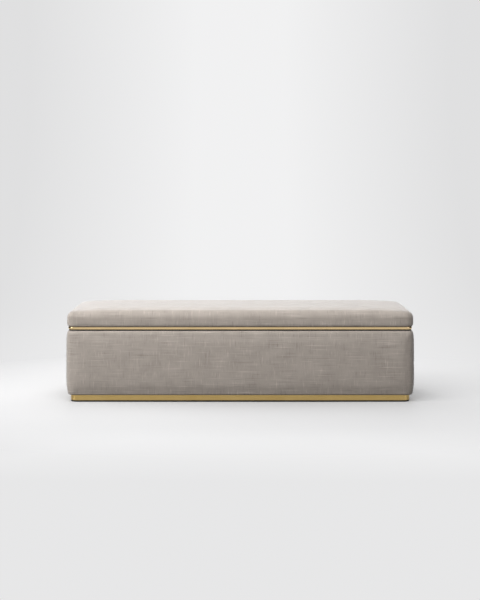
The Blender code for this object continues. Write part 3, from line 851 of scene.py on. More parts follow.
def rounded(x, y, z):
    """A point of the box drawn in to the rounded box, with the crown added."""
    inner = Vector((*nearest_inside(x, y), min(z, shoulder - CUSHION_ROUND)))
    away = Vector((x, y, z)) - inner
    point = inner + away.normalized() * CUSHION_ROUND
    rise = max(0.0, (point.z - shoulder + CUSHION_ROUND) / CUSHION_ROUND)
    along, across = crown_share(point.x, cushion_x), crown_share(point.y, cushion_y)
    crown = CUSHION_CROWN * (along + across - 1) - CUSHION_FOAM_GIVE * along * across
    return point + Vector((0, 0, crown * rise ** CROWN_POWER))


def top_faces(x_lengths, y_lengths):
    """Faces of the top's grid, and where each corner lies on the flat cloth."""
    columns = len(x_lengths)
    faces, cloth = [], []
    for row in range(len(y_lengths) - 1):
        for column in range(columns - 1):
            cell = cell_corners(column, row)
            faces.append(tuple(r * columns + c for c, r in cell))
            cloth += [(x_lengths[c], y_lengths[r]) for c, r in cell]
    return faces, cloth


print("cushion top:", len(grid_lines(cushion_x)[0]), "by", len(grid_lines(cushion_y)[0]), "points")

# %% [markdown]
# ## The cushion's side
# Below the top, the linen runs down the side, is tucked under, and is stapled to the board. Rings of points
# follow that way: from the grid's outline down, round the tuck, under the board and up again to the foam,
# so that the cushion is closed. Only the top is free to swell.

# %% Make the lid cushion
CUSHION_TUCK_IN = 0.0065
CUSHION_TUCK_TALL = 0.015
CUSHION_HEM = 0.045
SIDE_CELLS = 3
TUCK_STEPS = 6
CUSHION_PRESSURE = 0.8
LEAST_TURN = 0.01

_, board_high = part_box("cushion_board")


def around_grid(columns, rows):
    """The grid's outer points in turning order, as column, row and side of the box."""
    last_c, last_r = columns - 1, rows - 1
    path = [(column, 0, (0, -1)) for column in range(last_c)]
    path += [(last_c, row, (1, 0)) for row in range(last_r)]
    path += [(column, last_r, (0, 1)) for column in range(last_c, 0, -1)]
    return path + [(0, row, (-1, 0)) for row in range(last_r, 0, -1)]


def inset_point(point, way, inset):
    """A point of the cushion's outline drawn in, past the corner's centre if need be."""
    near = min(inset, CUSHION_ROUND - LEAST_RADIUS)
    rest = inset - near
    shifts = [math.copysign(rest, turn) if abs(turn) > LEAST_TURN else 0 for turn in way]
    return point.x - way.x * near - shifts[0], point.y - way.y * near - shifts[1]


def side_levels(straight):
    """Insets and levels from the straight side down, round the tuck and up to the foam's underside."""
    tuck_top = cushion_low.z + CUSHION_TUCK_TALL
    steps = range(1, SIDE_CELLS + 1)
    levels = [(0, straight + (tuck_top - straight) * step / SIDE_CELLS) for step in steps]
    for turn in quarter(TUCK_STEPS)[1:]:
        inset = CUSHION_TUCK_IN * (1 - math.cos(turn))
        levels.append((inset, tuck_top - CUSHION_TUCK_TALL * math.sin(turn)))
    board_edge = cushion_x - board_high.x - GAP
    levels += [(CUSHION_HEM, cushion_low.z), (CUSHION_HEM, cushion_low.z + CLOTH)]
    return levels + [(board_edge, cushion_low.z + CLOTH), (board_edge, board_high.z + GAP)]


def side_rings(outline):
    """Loops of points from below the roll down the side and under the cushion."""
    straight = shoulder - CUSHION_ROUND
    rows = []
    for step in range(1, ROUND_CELLS + 1):
        turn = math.pi / 4 * (1 - step / ROUND_CELLS)
        rows.append([rounded(x, y, straight + CUSHION_ROUND * math.tan(turn)) for x, y in outline])
    stations = []
    for point in rows[-1]:
        middle = Vector(nearest_inside(point.x, point.y))
        stations.append((point, (Vector((point.x, point.y)) - middle).normalized()))
    for inset, level in side_levels(straight):
        rows.append([Vector((*inset_point(point, way, inset), level)) for point, way in stations])
    return rows


def side_faces(above, below, edges, high, low):
    """A ring of faces down the side, and where each corner lies on the flat cloth."""
    faces, cloth = [], []
    for index, (_, _, (way_x, way_y)) in enumerate(edges):
        after = (index + 1) % len(edges)
        faces.append((above[index], below[index], below[after], above[after]))
        for place, drop in ((index, high), (index, low), (after, low), (after, high)):
            x, y, _ = edges[place]
            cloth.append((x + way_x * drop, y + way_y * drop))
    return faces, cloth


def make_cushion():
    """The cushion's skin: a grid on top, rings down the side, and a flat underside above its board."""
    xs, x_lengths = grid_lines(cushion_x)
    ys, y_lengths = grid_lines(cushion_y)
    columns, rows = len(xs), len(ys)
    points = [rounded(x, y, shoulder) for y in ys for x in xs]
    faces, cloth = top_faces(x_lengths, y_lengths)
    path = around_grid(columns, rows)
    rings = side_rings([(xs[column], ys[row]) for column, row, _ in path])
    edges = [(x_lengths[column], y_lengths[row], way) for column, row, way in path]
    drop = lengths_along([points[0]] + [loop[0] for loop in rings])
    above = [row * columns + column for column, row, _ in path]
    for level, loop in enumerate(rings):
        below = list(range(len(points), len(points) + len(loop)))
        points += loop
        ring_faces, ring_cloth = side_faces(above, below, edges, drop[level], drop[level + 1])
        faces += ring_faces
        cloth += ring_cloth
        above = below
    faces.append(tuple(above))
    cloth += [(points[index][0], points[index][1]) for index in above]
    cushion = add_mesh("lid_cushion", [tuple(point) for point in points], faces, cloth, linen)
    return cushion, columns * rows


cushion, free_points = make_cushion()
tucked_points = range(free_points, len(cushion.data.vertices))
swollen_by = swell(cushion, tucked_points, CUSHION_PRESSURE, CUSHION_FOAM_GIVE)
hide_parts("cushion_cover", "cushion_foam")
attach(cushion, "lid")
print("cushion:", len(cushion.data.polygons), "faces, swollen by up to", round(swollen_by, 4))

# %% [markdown]
# ## The lining of the storage space
# A dark cotton tray lines the space inside, cut as a cross: a floor and four walls, stepped round the
# corner posts. Its top edge runs up behind the linen that is turned in over the rim. It starts as a flat
# grid with the posts' cells left out. The grid's outline is then copied upwards row by row, and each new
# row is joined to the one below.

# %% Shape the tray
FOOT_ROUND = 0.008
FOOT_STEPS = 4
LINING_STEP = 0.016
BESIDE_POST = 2
NEAR = 1e-5

lining_low, lining_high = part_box("storage_lining")
tray_x, tray_y = lining_high.x, lining_high.y
tray_step_x, tray_step_y = post_inner.x - GAP, post_inner.y - GAP


def tray_lines(wall, step):
    """Places of the grid's lines from wall to wall, with lines at the posts' sides."""
    count = round(2 * step / LINING_STEP)
    inner = [step * (2 * index / count - 1) for index in range(count + 1)]
    beside = [step + (wall - step) * (index + 1) / BESIDE_POST for index in range(BESIDE_POST)]
    return [-place for place in reversed(beside)] + inner + beside


def tray_floor(shape):
    """The floor's faces, without the cells where the posts stand."""
    xs = tray_lines(tray_x - FOOT_ROUND, tray_step_x - FOOT_ROUND)
    ys = tray_lines(tray_y - FOOT_ROUND, tray_step_y - FOOT_ROUND)
    ends_x = (BESIDE_POST, len(xs) - 1 - BESIDE_POST)
    ends_y = (BESIDE_POST, len(ys) - 1 - BESIDE_POST)
    points = {}
    for column in range(len(xs) - 1):
        for row in range(len(ys) - 1):
            if not (ends_x[0] <= column < ends_x[1] or ends_y[0] <= row < ends_y[1]):
                continue
            cell = cell_corners(column, row)
            for key in cell:
                if key not in points:
                    points[key] = shape.verts.new((xs[key[0]], ys[key[1]], lining_low.z))
            shape.faces.new([points[key] for key in cell])


def outline_of(shape):
    """The points of an open sheet's outline, in order."""
    edge = min((edge for edge in shape.edges if edge.is_boundary), key=lambda edge: tuple(edge.verts[0].co))
    path = list(edge.verts)
    while True:
        edge = next(e for e in path[-1].link_edges if e.is_boundary and e is not edge)
        point = edge.other_vert(path[-1])
        if point is path[0]:
            return path
        path.append(point)


def outward_from(point):
    """The way out to the wall or post beside a point of the floor's outline."""
    at_x, at_y = abs(point.x), abs(point.y)
    inset = FOOT_ROUND + NEAR
    at_post = at_x > tray_step_x - inset and at_y > tray_step_y - inset
    beside_x = at_x > tray_x - inset or (at_post and at_x < tray_step_x)
    beside_y = at_y > tray_y - inset or (at_post and at_y < tray_step_y)
    return Vector((math.copysign(beside_x, point.x), math.copysign(beside_y, point.y), 0))


def join_loops(shape, below, above):
    """Four-sided faces between two matching closed loops of points."""
    for index in range(len(below)):
        after = (index + 1) % len(below)
        shape.faces.new((below[index], below[after], above[after], above[index]))


def tray_walls(shape):
    """Rows of faces from the floor's outline round the foot and up to the rim."""
    outline = outline_of(shape)
    ways = [outward_from(vert.co) for vert in outline]
    feet = [vert.co.copy() for vert in outline]
    rises = [(FOOT_ROUND * math.sin(t), FOOT_ROUND * (1 - math.cos(t))) for t in quarter(FOOT_STEPS)[1:]]
    tall = lining_high.z - lining_low.z
    count = round((tall - FOOT_ROUND) / LINING_STEP)
    rises += [(FOOT_ROUND, FOOT_ROUND + (tall - FOOT_ROUND) * (row + 1) / count) for row in range(count)]
    below = outline
    for reach, rise in rises:
        row = [shape.verts.new(foot + way * reach + Vector((0, 0, rise))) for foot, way in zip(feet, ways)]
        join_loops(shape, below, row)
        below = row


def face_inwards(shape):
    """Turns the faces of the tray so that they all look into it."""
    bmesh.ops.recalc_face_normals(shape, faces=shape.faces[:])
    shape.faces.ensure_lookup_table()
    if shape.faces[0].normal.z < 0:
        bmesh.ops.reverse_faces(shape, faces=shape.faces[:])
    shape.normal_update()


print("tray: reaches", round(tray_x, 4), round(tray_y, 4), "from the middle")

# %% [markdown]
# ## The tray as cloth
# Cotton that is held only at its edges lies in shallow folds, so a little noise lifts the tray's points.
# The noise fades towards the top edge, which is held. A modifier gives the sheet its thickness, and each
# face is laid flat by looking straight at it, which keeps the weave even on the floor and on the walls.

# %% Make the storage lining
LINING_CLOTH = 0.0008
WRINKLE = 0.0016
WRINKLE_FADE = 0.030
FOLD_SCALE = Vector((9, 9, 3))
CREASE_SCALE = 31
CREASE_START = Vector((5, 5, 5))
LIFT_SHARES = (0.5, 0.7, 0.4)
FACING_END = 0.3
FACING_UP = 0.7
END_WALL_SHARE = 0.25


def as_share(value):
    """A value kept between 0 and 1."""
    return min(1.0, max(0.0, value))


def wrinkle(shape):
    """Lifts the tray's points: less on the end walls, which carry brackets, and none at the top."""
    always, folded, creased = LIFT_SHARES
    for vert in shape.verts:
        fade = as_share((lining_high.z - WRINKLE_FADE - vert.co.z) / WRINKLE_FADE)
        free = END_WALL_SHARE if abs(vert.normal.x) > FACING_END else 1.0
        folds = noise.noise(vert.co * FOLD_SCALE)
        creases = noise.noise(vert.co * CREASE_SCALE + CREASE_START)
        lift = as_share(always + folded * folds + creased * creases)
        vert.co += vert.normal * WRINKLE * fade * free * lift


def cloth_of(point, normal):
    """Flat coordinates of a point of the lining, seen along its face's normal."""
    place = point.co
    if abs(normal.z) > FACING_UP:
        return place.x, place.y
    return (place.z, place.y) if abs(normal.x) > abs(normal.y) else (place.x, place.z)


def lay_flat(shape, place_of):
    """Notes for each corner of each face where it lies on the flat cloth or strip."""
    layer = shape.loops.layers.uv.new(CLOTH_MAP)
    for face in shape.faces:
        for corner in face.loops:
            corner[layer].uv = place_of(corner.vert, face.normal)


def mesh_from_shape(name, shape):
    """A mesh from a built-up shape, which is used up."""
    mesh = bpy.data.meshes.new(name)
    shape.to_mesh(mesh)
    shape.free()
    return mesh


def cloth_piece(name, shape, finish):
    """Turns a built-up shape into a piece with flat cloth coordinates."""
    lay_flat(shape, cloth_of)
    return add_object(name, mesh_from_shape(name, shape), finish)


def thicken(piece, side):
    """Gives a sheet the lining's thickness, to the side of its faces that is given."""
    thick = piece.modifiers.new("thickness", "SOLIDIFY")
    thick.thickness = LINING_CLOTH
    thick.offset = side
    return piece


def make_storage_cloth():
    """The lining as one sheet, with its inner side up."""
    shape = bmesh.new()
    tray_floor(shape)
    tray_walls(shape)
    face_inwards(shape)
    wrinkle(shape)
    return thicken(cloth_piece("storage_cloth", shape, lining_cotton), 1.0)


storage_cloth = make_storage_cloth()
wall_height = lining_high.z - lining_low.z
cut_width = 2 * (tray_y + wall_height)
cut_length = 2 * (tray_x + wall_height)
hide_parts("storage_lining")
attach(storage_cloth, "box")
cut_sizes = round(cut_width, 3), round(cut_length, 3)
print("storage lining:", len(storage_cloth.data.polygons), "faces, cut", cut_sizes)

# %% [markdown]
# ## The lining under the lid
# A rectangle of the same cotton hides the middle of the lid board. Its edges are turned under as a hem, so
# they stand a little proud, and staples hold the hem to the board every few centimetres. Between two
# staples the hem lifts, and at a staple it is pressed in. A grid with closer lines at the hem shows that.

# %% Make the lid lining
HEM = 0.012
HEM_PROUD = 0.0006
HEM_EDGE = 0.0006
STAPLE_PITCH = 0.055
STAPLE_PRESS = 0.0004
STAPLE_REACH = 0.006
SLACK = 0.00025
SLACK_SCALE = 7
SLACK_SLICE = 2.0

_, lid_cloth_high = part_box("lid_lining")
board_under = lid_cloth_high.z


def hem_lines(reach):
    """Places of the grid's lines across the lining, closer together at its hems."""
    inner = reach - HEM - 2 * HEM_EDGE
    count = round(2 * inner / LINING_STEP)
    edge = [reach - HEM, reach - HEM * 2 / 3, reach - HEM / 2, reach - HEM / 3, reach - HEM_EDGE, reach]
    middle = [inner * (2 * index / count - 1) for index in range(count + 1)]
    return [-place for place in reversed(edge)] + middle + edge


def staple_places():
    """Middles of the staples along the hem, and whether each lies along X."""
    reach_x, reach_y = lid_cloth_high.x - HEM / 2, lid_cloth_high.y - HEM / 2
    places = []
    for reach, other, along_x in ((reach_x, reach_y, True), (reach_y, reach_x, False)):
        count = round(2 * reach / STAPLE_PITCH)
        for index in range(count):
            along = reach * (2 * (index + 0.5) / count - 1)
            for side in (-other, other):
                places.append((Vector((along, side) if along_x else (side, along)), along_x))
    return places


def hem_level(x, y, staples):
    """Level of the lining's outer face, which is lower than the board it lies under."""
    edge = min(lid_cloth_high.x - abs(x), lid_cloth_high.y - abs(y))
    proud = HEM_PROUD if HEM_EDGE / 2 < edge < HEM + HEM_EDGE else 0.0
    near = np.exp(-((staples - (x, y)) ** 2).sum(axis=1) / STAPLE_REACH ** 2).max()
    slack = SLACK * noise.noise(Vector((x * SLACK_SCALE, y * SLACK_SCALE, SLACK_SLICE)))
    pressed = STAPLE_PRESS * near * (proud > 0)
    return board_under - LINING_CLOTH - proud + pressed - abs(slack) * (edge > HEM)


def make_lid_cloth():
    """The lining as a grid whose outer face looks down, with thickness towards the board."""
    staples = np.array([tuple(place) for place, _ in staple_places()])
    xs, ys = hem_lines(lid_cloth_high.x), hem_lines(lid_cloth_high.y)
    shape = bmesh.new()
    points = [[shape.verts.new((x, y, hem_level(x, y, staples))) for x in xs] for y in ys]
    for row in range(len(ys) - 1):
        for column in range(len(xs) - 1):
            below, above = points[row], points[row + 1]
            shape.faces.new((below[column], above[column], above[column + 1], below[column + 1]))
    shape.normal_update()
    return thicken(cloth_piece("lid_cloth", shape, lining_cotton), -1.0)


lid_cloth = make_lid_cloth()
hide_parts("lid_lining")
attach(lid_cloth, "lid")
print("lid lining:", len(lid_cloth.data.polygons), "faces")

# %% [markdown]
# ## Staples
# A staple is bent from flat wire. A cylinder along a line would be round, so a rectangular section is
# carried along the bent path, and loops at its bends are joined. All the staples are copies of one, turned
# to lie along the hem, and they make one piece.

# %% Make the staples
STAPLE_WIDTH = 0.010
STAPLE_WIRE = (0.0011, 0.0005)
STAPLE_BEND = 0.0004


def staple_loops():
    """A staple's section along its path, in the plane of its own X and Z, with its crown below."""
    half = STAPLE_WIDTH / 2
    wide, thick = STAPLE_WIRE
    rise = 2 * HEM_PROUD + LINING_CLOTH
    path = [(-half, rise), (-half, STAPLE_BEND), (-half + STAPLE_BEND, 0)]
    path += [(-x, z) for x, z in reversed(path)]
    loops = []
    for index, (x, z) in enumerate(path):
        before = Vector(path[max(index - 1, 0)])
        after = Vector(path[min(index + 1, len(path) - 1)])
        along = (after - before).normalized()
        across = Vector((-along.y, along.x)) * thick / 2
        inner, outer = Vector((x, z)) + across, Vector((x, z)) - across
        corners = ((outer, -1), (outer, 1), (inner, 1), (inner, -1))
        loops.append([(p.x, side * wide / 2, p.y) for p, side in corners])
    return loops


def add_loops(shape, loops):
    """Joins matching closed loops into a skin with flat ends."""
    rings = [[shape.verts.new(point) for point in loop] for loop in loops]
    for below, above in zip(rings, rings[1:]):
        join_loops(shape, below, above)
    shape.faces.new(rings[0][::-1])
    shape.faces.new(rings[-1])
    return [vert for ring_of_points in rings for vert in ring_of_points]


def make_staples():
    """All the staples of the lid's lining, as one piece."""
    shape = bmesh.new()
    level = board_under - LINING_CLOTH - HEM_PROUD + STAPLE_PRESS - STAPLE_WIRE[1] / 2
    for place, along_x in staple_places():
        turn = Matrix.Rotation(0 if along_x else math.pi / 2, 4, "Z")
        matrix = Matrix.Translation((place.x, place.y, level)) @ turn
        bmesh.ops.transform(shape, matrix=matrix, verts=add_loops(shape, staple_loops()))
    bmesh.ops.recalc_face_normals(shape, faces=shape.faces[:])
    return cloth_piece("lid_staples", shape, steel)


lid_staples = make_staples()
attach(lid_staples, "lid")
print("staples:", len(staple_places()))

# %% [markdown]
# ## Strips
# A half-round moulding covers the lid board's edge, and a flat band covers the plinth's rails. Both are
# sold as straight strips, so the front and back strips are bent round two corners each, and short straight
# strips close the ends. A section carried along a path gives that shape, and eased ends catch the light at
# the joints.

# %% Define the strips
STRIP_BEVEL = 0.0003
STRIP_RETURN = 0.008
STRIP_STEPS = 20
SHARP_ANGLE = math.radians(35)
FACES = {"front": -1, "back": 1}
SIDES = {"left": -1, "right": 1}


def hard_piece(name, shape, slot, body, *replaced, finish=None):
    """Turns a closed shape into a piece with crisp edges that rides a body and stands for solids."""
    bmesh.ops.recalc_face_normals(shape, faces=shape.faces[:])
    piece = add_object(name, mesh_from_shape(name, shape), finish or FINISH_OF_SLOT[slot])
    piece.data.set_sharp_from_angle(angle=SHARP_ANGLE)
    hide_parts(*replaced)
    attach(piece, body)
    return piece


def wrapped_path(reach, radius, face):
    """The path of a strip along the front or back, round both corners."""
    corners = (3, 0) if face < 0 else (1, 2)
    end_y = face * (reach.y - radius - STRIP_RETURN)
    path = [(Vector((face * reach.x, end_y)), Vector((face, 0)))]
    for corner in corners:
        path += corner_arc(reach.x, reach.y, radius, corner, STRIP_STEPS)
    return path + [(Vector((-face * reach.x, end_y)), Vector((-face, 0)))]


def end_path(reach, radius, side):
    """The path of a straight strip along one end."""
    end_y = reach.y - radius - STRIP_RETURN - GAP
    return [(Vector((side * reach.x, y)), Vector((side, 0))) for y in (-end_y, end_y)]


def eased(section):
    """A section drawn in by the bevel on every side."""
    low, high = np.min(section, axis=0), np.max(section, axis=0)
    middle = (low + high) / 2
    share = 1 - 2 * STRIP_BEVEL / (high - low)
    return [tuple(middle + (np.array(point) - middle) * share) for point in section]


def strip(path, section):
    """A section of offsets and levels carried along a path, with eased ends."""
    stations = [(point.copy(), way, section) for point, way in path]
    for end, inner in ((0, 1), (-1, -2)):
        point = stations[end][0]
        point += (stations[inner][0] - point).normalized() * STRIP_BEVEL
    small = eased(section)
    stations = [(*path[0], small)] + stations + [(*path[-1], small)]
    loops = [[(*(point + way * x), z) for x, z in part] for point, way, part in stations]
    shape = bmesh.new()
    points = add_loops(shape, loops)
    along, across = lengths_along([loop[0] for loop in loops]), lengths_along(loops[1])
    size = len(section)
    flat = {point: (along[index // size], across[index % size]) for index, point in enumerate(points)}
    lay_flat(shape, lambda point, _: flat[point])
    return shape


def paths_round(reach, radius):
    """The paths of four strips round a rectangle, by side."""
    paths = {label: wrapped_path(reach, radius, face) for label, face in FACES.items()}
    return paths | {label: end_path(reach, radius, side) for label, side in SIDES.items()}


print("strips round a rectangle:", len(FACES) + len(SIDES))

# %% [markdown]
# ## Brass moulding and plinth band
# The solids have coarse corners, so the brass is made again with finer ones. The moulding is polished, and
# its paler colour is a painted highlight; the band is brushed. Their lower edges lie a little higher than
# the solids', because the dark lines below them are taller in the photograph.

# %% Make the brass strips
TRIM = 0.005
TRIM_EDGE = 0.0015
TRIM_CORNER = 0.030
TRIM_STEPS = 24
TRIM_LIFT = 0.0024
BAND = 0.0012
BAND_LIFT = 0.0010
PLINTH_CORNER = 0.030


def half_round(low, high):
    """The moulding's section: a flat back and a rounded face."""
    low += TRIM_LIFT
    section = [(0, low)]
    for step in range(TRIM_STEPS + 1):
        turn = math.pi * step / TRIM_STEPS
        bulge = TRIM_EDGE + (TRIM - TRIM_EDGE) * math.sin(turn)
        section.append((bulge, low + (high - low) / 2 * (1 - math.cos(turn))))
    return section + [(0, high)]


def flat_band(low, high):
    """The band's section, with its outer edges eased."""
    low += BAND_LIFT
    near = BAND - STRIP_BEVEL
    face = [(BAND, low + STRIP_BEVEL), (BAND, high - STRIP_BEVEL)]
    return [(0, low), (near, low), *face, (near, high), (0, high)]


def make_strips(solid, name, thick, corner, section_of, body, finish):
    """Four brass strips where the solids of that name are."""
    low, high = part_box(f"{solid}_front")
    reach = Vector((high.x - thick, -low.y - thick))
    section = section_of(low.z, high.z)
    paths = paths_round(reach, corner - thick)
    for label, path in paths.items():
        shape = strip(path, section)
        hard_piece(f"{name}_{label}", shape, "brass", body, f"{solid}_{label}", finish=finish)
    return len(paths)


count = make_strips("lid_trim", "moulding", TRIM, TRIM_CORNER, half_round, "lid", polished_highlit_brass)
count += make_strips("plinth_band", "plinth_strip", BAND, PLINTH_CORNER, flat_band, "box", brass)
print("brass strips:", count)

# %% [markdown]
# ## Turned shapes
# Struts, pins, screws and buttons are turned pieces: a profile spun round an axis. Two turned shapes that
# cross are joined by a boolean, and a third one cuts a bore out of them. These helpers make such shapes,
# turn them and put them in place.

# %% Define turned shapes
ROUND_STEPS = 48


def turned(profile):
    """A round shape about Z from pairs of height and radius."""
    shape = bmesh.new()
    turns = [2 * math.pi * step / ROUND_STEPS for step in range(ROUND_STEPS)]
    add_loops(shape, [[(r * math.cos(t), r * math.sin(t), z) for t in turns] for z, r in profile])
    return shape


def placed(shape, place, turn=0.0, about="X"):
    """Turns a shape about an axis through the origin, then moves it."""
    matrix = Matrix.Translation(place) @ Matrix.Rotation(turn, 4, about)
    bmesh.ops.transform(shape, matrix=matrix, verts=shape.verts[:])
    return shape


def across(profile):
    """A turned shape about the X axis."""
    return placed(turned(profile), (0, 0, 0), math.pi / 2, "Y")


def combined(base_shape, other, operation):
    """Joins a shape to another, or cuts the other out of it."""
    helpers = []
    for shape in (base_shape, other):
        bmesh.ops.recalc_face_normals(shape, faces=shape.faces[:])
        helpers.append(bpy.data.objects.new("helper", mesh_from_shape("helper", shape)))
        scene.collection.objects.link(helpers[-1])
    step = helpers[0].modifiers.new("step", "BOOLEAN")
    step.operation = operation
    step.solver = "EXACT"
    step.object = helpers[1]
    result = bmesh.new()
    result.from_object(helpers[0], bpy.context.evaluated_depsgraph_get())
    for helper in helpers:
        bpy.data.objects.remove(helper)
    return result


print("turned shapes:", ROUND_STEPS, "steps round")

# %% [markdown]
# ## Gas struts
# A strut is a black tube with a rod that slides in it, each with an eye on a bracket's stud. The eye lies
# across the tube's axis, so it is a second turned piece. Real tubes are rolled in at the mouth and have a
# groove that holds the seal, which a plain solid lacks.

# %% Make the struts
TUBE_RADIUS = 0.009
TUBE_WALL = 0.0015
TUBE_PLUG = 0.008
TUBE_GUIDE = 0.010
ROD_RADIUS = 0.004
PISTON = 0.012
PISTON_REST = 0.003
NECK = 0.018
NECK_RADIUS = 0.005
MOUTH_CLEARANCE = 0.003
EYE_RADIUS = 0.009
EYE_WIDTH = 0.010
EYE_EASE = 0.0008
STUD_RADIUS = 0.004
ROLLED = 0.0012
GROOVE = 0.0007

joint_at = {joint["child"]: Vector(joint["pos_m"]) for joint in frame["joints"]}


def with_eye(body):
    """Joins a strut's end to its eye, whose bore runs along X through the origin."""
    half = EYE_WIDTH / 2
    edge = [(half - EYE_EASE, EYE_RADIUS), (half, EYE_RADIUS - EYE_EASE)]
    eye = [(-z, r) for z, r in reversed(edge)] + edge
    bore = [(end, STUD_RADIUS + GAP) for end in (-EYE_WIDTH, EYE_WIDTH)]
    return combined(combined(across(eye), body, "UNION"), across(bore), "DIFFERENCE")


def strut_tube(closed):
    """The tube, upwards from its eye, with its seal groove and rolled mouth."""
    mouth = closed - NECK - MOUTH_CLEARANCE
    seal = mouth - TUBE_GUIDE - 2 * ROLLED
    chamber, guide = TUBE_RADIUS - TUBE_WALL, ROD_RADIUS + GAP
    return with_eye(turned([
        (EYE_RADIUS - TUBE_WALL, NECK_RADIUS),
        (NECK - ROLLED, NECK_RADIUS),
        (NECK, NECK_RADIUS + ROLLED),
        (NECK, TUBE_RADIUS - ROLLED),
        (NECK + ROLLED, TUBE_RADIUS),
        (seal - 2 * ROLLED, TUBE_RADIUS),
        (seal - ROLLED, TUBE_RADIUS - GROOVE),
        (seal, TUBE_RADIUS - GROOVE),
        (seal + ROLLED, TUBE_RADIUS),
        (mouth - ROLLED, TUBE_RADIUS),
        (mouth - ROLLED / 4, TUBE_RADIUS - ROLLED / 3),
        (mouth, TUBE_RADIUS - ROLLED),
        (mouth, guide),
        (mouth - TUBE_GUIDE, guide),
        (mouth - TUBE_GUIDE, chamber),
        (NECK + TUBE_PLUG, chamber),
    ]))


def strut_rod(closed):
    """The rod, downwards from its eye to its piston."""
    bottom = -(closed - NECK - TUBE_PLUG - PISTON_REST)
    piston = TUBE_RADIUS - TUBE_WALL - GAP
    return with_eye(turned([
        (bottom, piston - ROLLED / 2),
        (bottom + ROLLED / 2, piston),
        (bottom + PISTON, piston),
        (bottom + PISTON, ROD_RADIUS),
        (-NECK - ROLLED, ROD_RADIUS),
        (-NECK, NECK_RADIUS),
        (-EYE_RADIUS + TUBE_WALL, NECK_RADIUS),
    ]))


def make_struts():
    """A tube and a rod on each side, along the line between their pivots."""
    for side in SIDES:
        foot, head = joint_at[f"{side}_strut_tube"], joint_at[f"{side}_strut_rod"]
        line = head - foot
        tilt = math.atan2(-line.y, line.z)
        tube = placed(strut_tube(line.length), foot, tilt)
        rod = placed(strut_rod(line.length), head, tilt)
        hard_piece(f"gas_tube_{side}", tube, "black_enamel", f"{side}_strut_tube", f"strut_{side}_tube")
        hard_piece(f"gas_rod_{side}", rod, "steel", f"{side}_strut_rod", f"strut_{side}_rod")
    return line.length


print("struts: closed length", round(make_struts(), 4))

# %% [markdown]
# ## Hinges
# Each butt hinge has a leaf on the rim, a leaf under the lid board and a pin through their knuckles. The
# leaves lie almost face to face when the lid is shut, so their screws are countersunk: the holes are cut as
# cones, which the screws' heads fill. A leaf is a plate, joined to every second knuckle and then bored.

# %% Make the hinges
HINGE_LENGTH = 0.080
LEAF = 0.0013
LEAF_WIDTH = 0.027
LEAF_CORNER = 0.005
KNUCKLES = 5
KNUCKLE_RADIUS = 0.004
PIN_RADIUS = 0.0018
PIN_HEAD_RADIUS = 0.0032
PIN_HEAD = 0.0015
SCREW_SPACING = 0.028
SCREW_FROM_AXIS = 0.0165
SCREW_HEAD = 0.0034
SCREW_SHANK = 0.0018
LEAST_EDGE = 0.0002
DOME_STEPS = 6

lid_axis = joint_at["lid"]


def box_between(low, high):
    """A plain box between two corners."""
    shape = bmesh.new()
    outline = [(low[0], low[1]), (high[0], low[1]), (high[0], high[1]), (low[0], high[1])]
    add_loops(shape, [[(x, y, z) for x, y in outline] for z in (low[2], high[2])])
    return shape


def leaf_plate(level):
    """A leaf's plate, with its two free corners rounded."""
    half, back = HINGE_LENGTH / 2, -KNUCKLE_RADIUS - GAP
    arcs = [corner_arc(half, LEAF_WIDTH, LEAF_CORNER, corner) for corner in (3, 0)]
    outline = [point for arc in arcs for point, _ in arc]
    outline += [Vector((half, back)), Vector((-half, back))]
    shape = bmesh.new()
    add_loops(shape, [[(p.x, p.y, z) for p in outline] for z in (level, level + LEAF)])
    return shape


def screw_places():
    """Middles of a leaf's screws, from the hinge's own axis."""
    return [Vector((x, -SCREW_FROM_AXIS, 0)) for x in (-SCREW_SPACING, 0, SCREW_SPACING)]


def hinge_leaf(level, taken, facing):
    """A leaf about an axis at the origin: every second knuckle from the one given, and sunk holes."""
    pitch = HINGE_LENGTH / KNUCKLES
    leaf = leaf_plate(level)
    for index in range(taken, KNUCKLES, 2):
        start = -HINGE_LENGTH / 2 + pitch * index + GAP / 2
        stop = start + pitch - GAP
        tab = box_between((start, -KNUCKLE_RADIUS - GAP - LEAF, level), (stop, -PIN_RADIUS, level + LEAF))
        barrel = across([(start, KNUCKLE_RADIUS), (stop, KNUCKLE_RADIUS)])
        leaf = combined(combined(leaf, tab, "UNION"), barrel, "UNION")
    bore = across([(end, PIN_RADIUS + GAP) for end in (-HINGE_LENGTH, HINGE_LENGTH)])
    leaf = combined(leaf, bore, "DIFFERENCE")
    for place in screw_places():
        cone = turned([(-LEAF, SCREW_SHANK), (0, SCREW_SHANK), (LEAF, SCREW_HEAD), (2 * LEAF, SCREW_HEAD)])
        middle = place + Vector((0, 0, level + (LEAF if facing < 0 else 0)))
        leaf = combined(leaf, placed(cone, middle, math.pi if facing < 0 else 0), "DIFFERENCE")
    return leaf


def hinge_pin():
    """A pin with a domed head at each end."""
    half = HINGE_LENGTH / 2 + GAP
    turns = quarter(DOME_STEPS)
    dome = [(half + PIN_HEAD * math.sin(t), PIN_HEAD_RADIUS * math.cos(t) + LEAST_EDGE) for t in turns]
    ends = [(half, PIN_RADIUS)] + dome
    return across([(-z, r) for z, r in reversed(ends)] + ends)


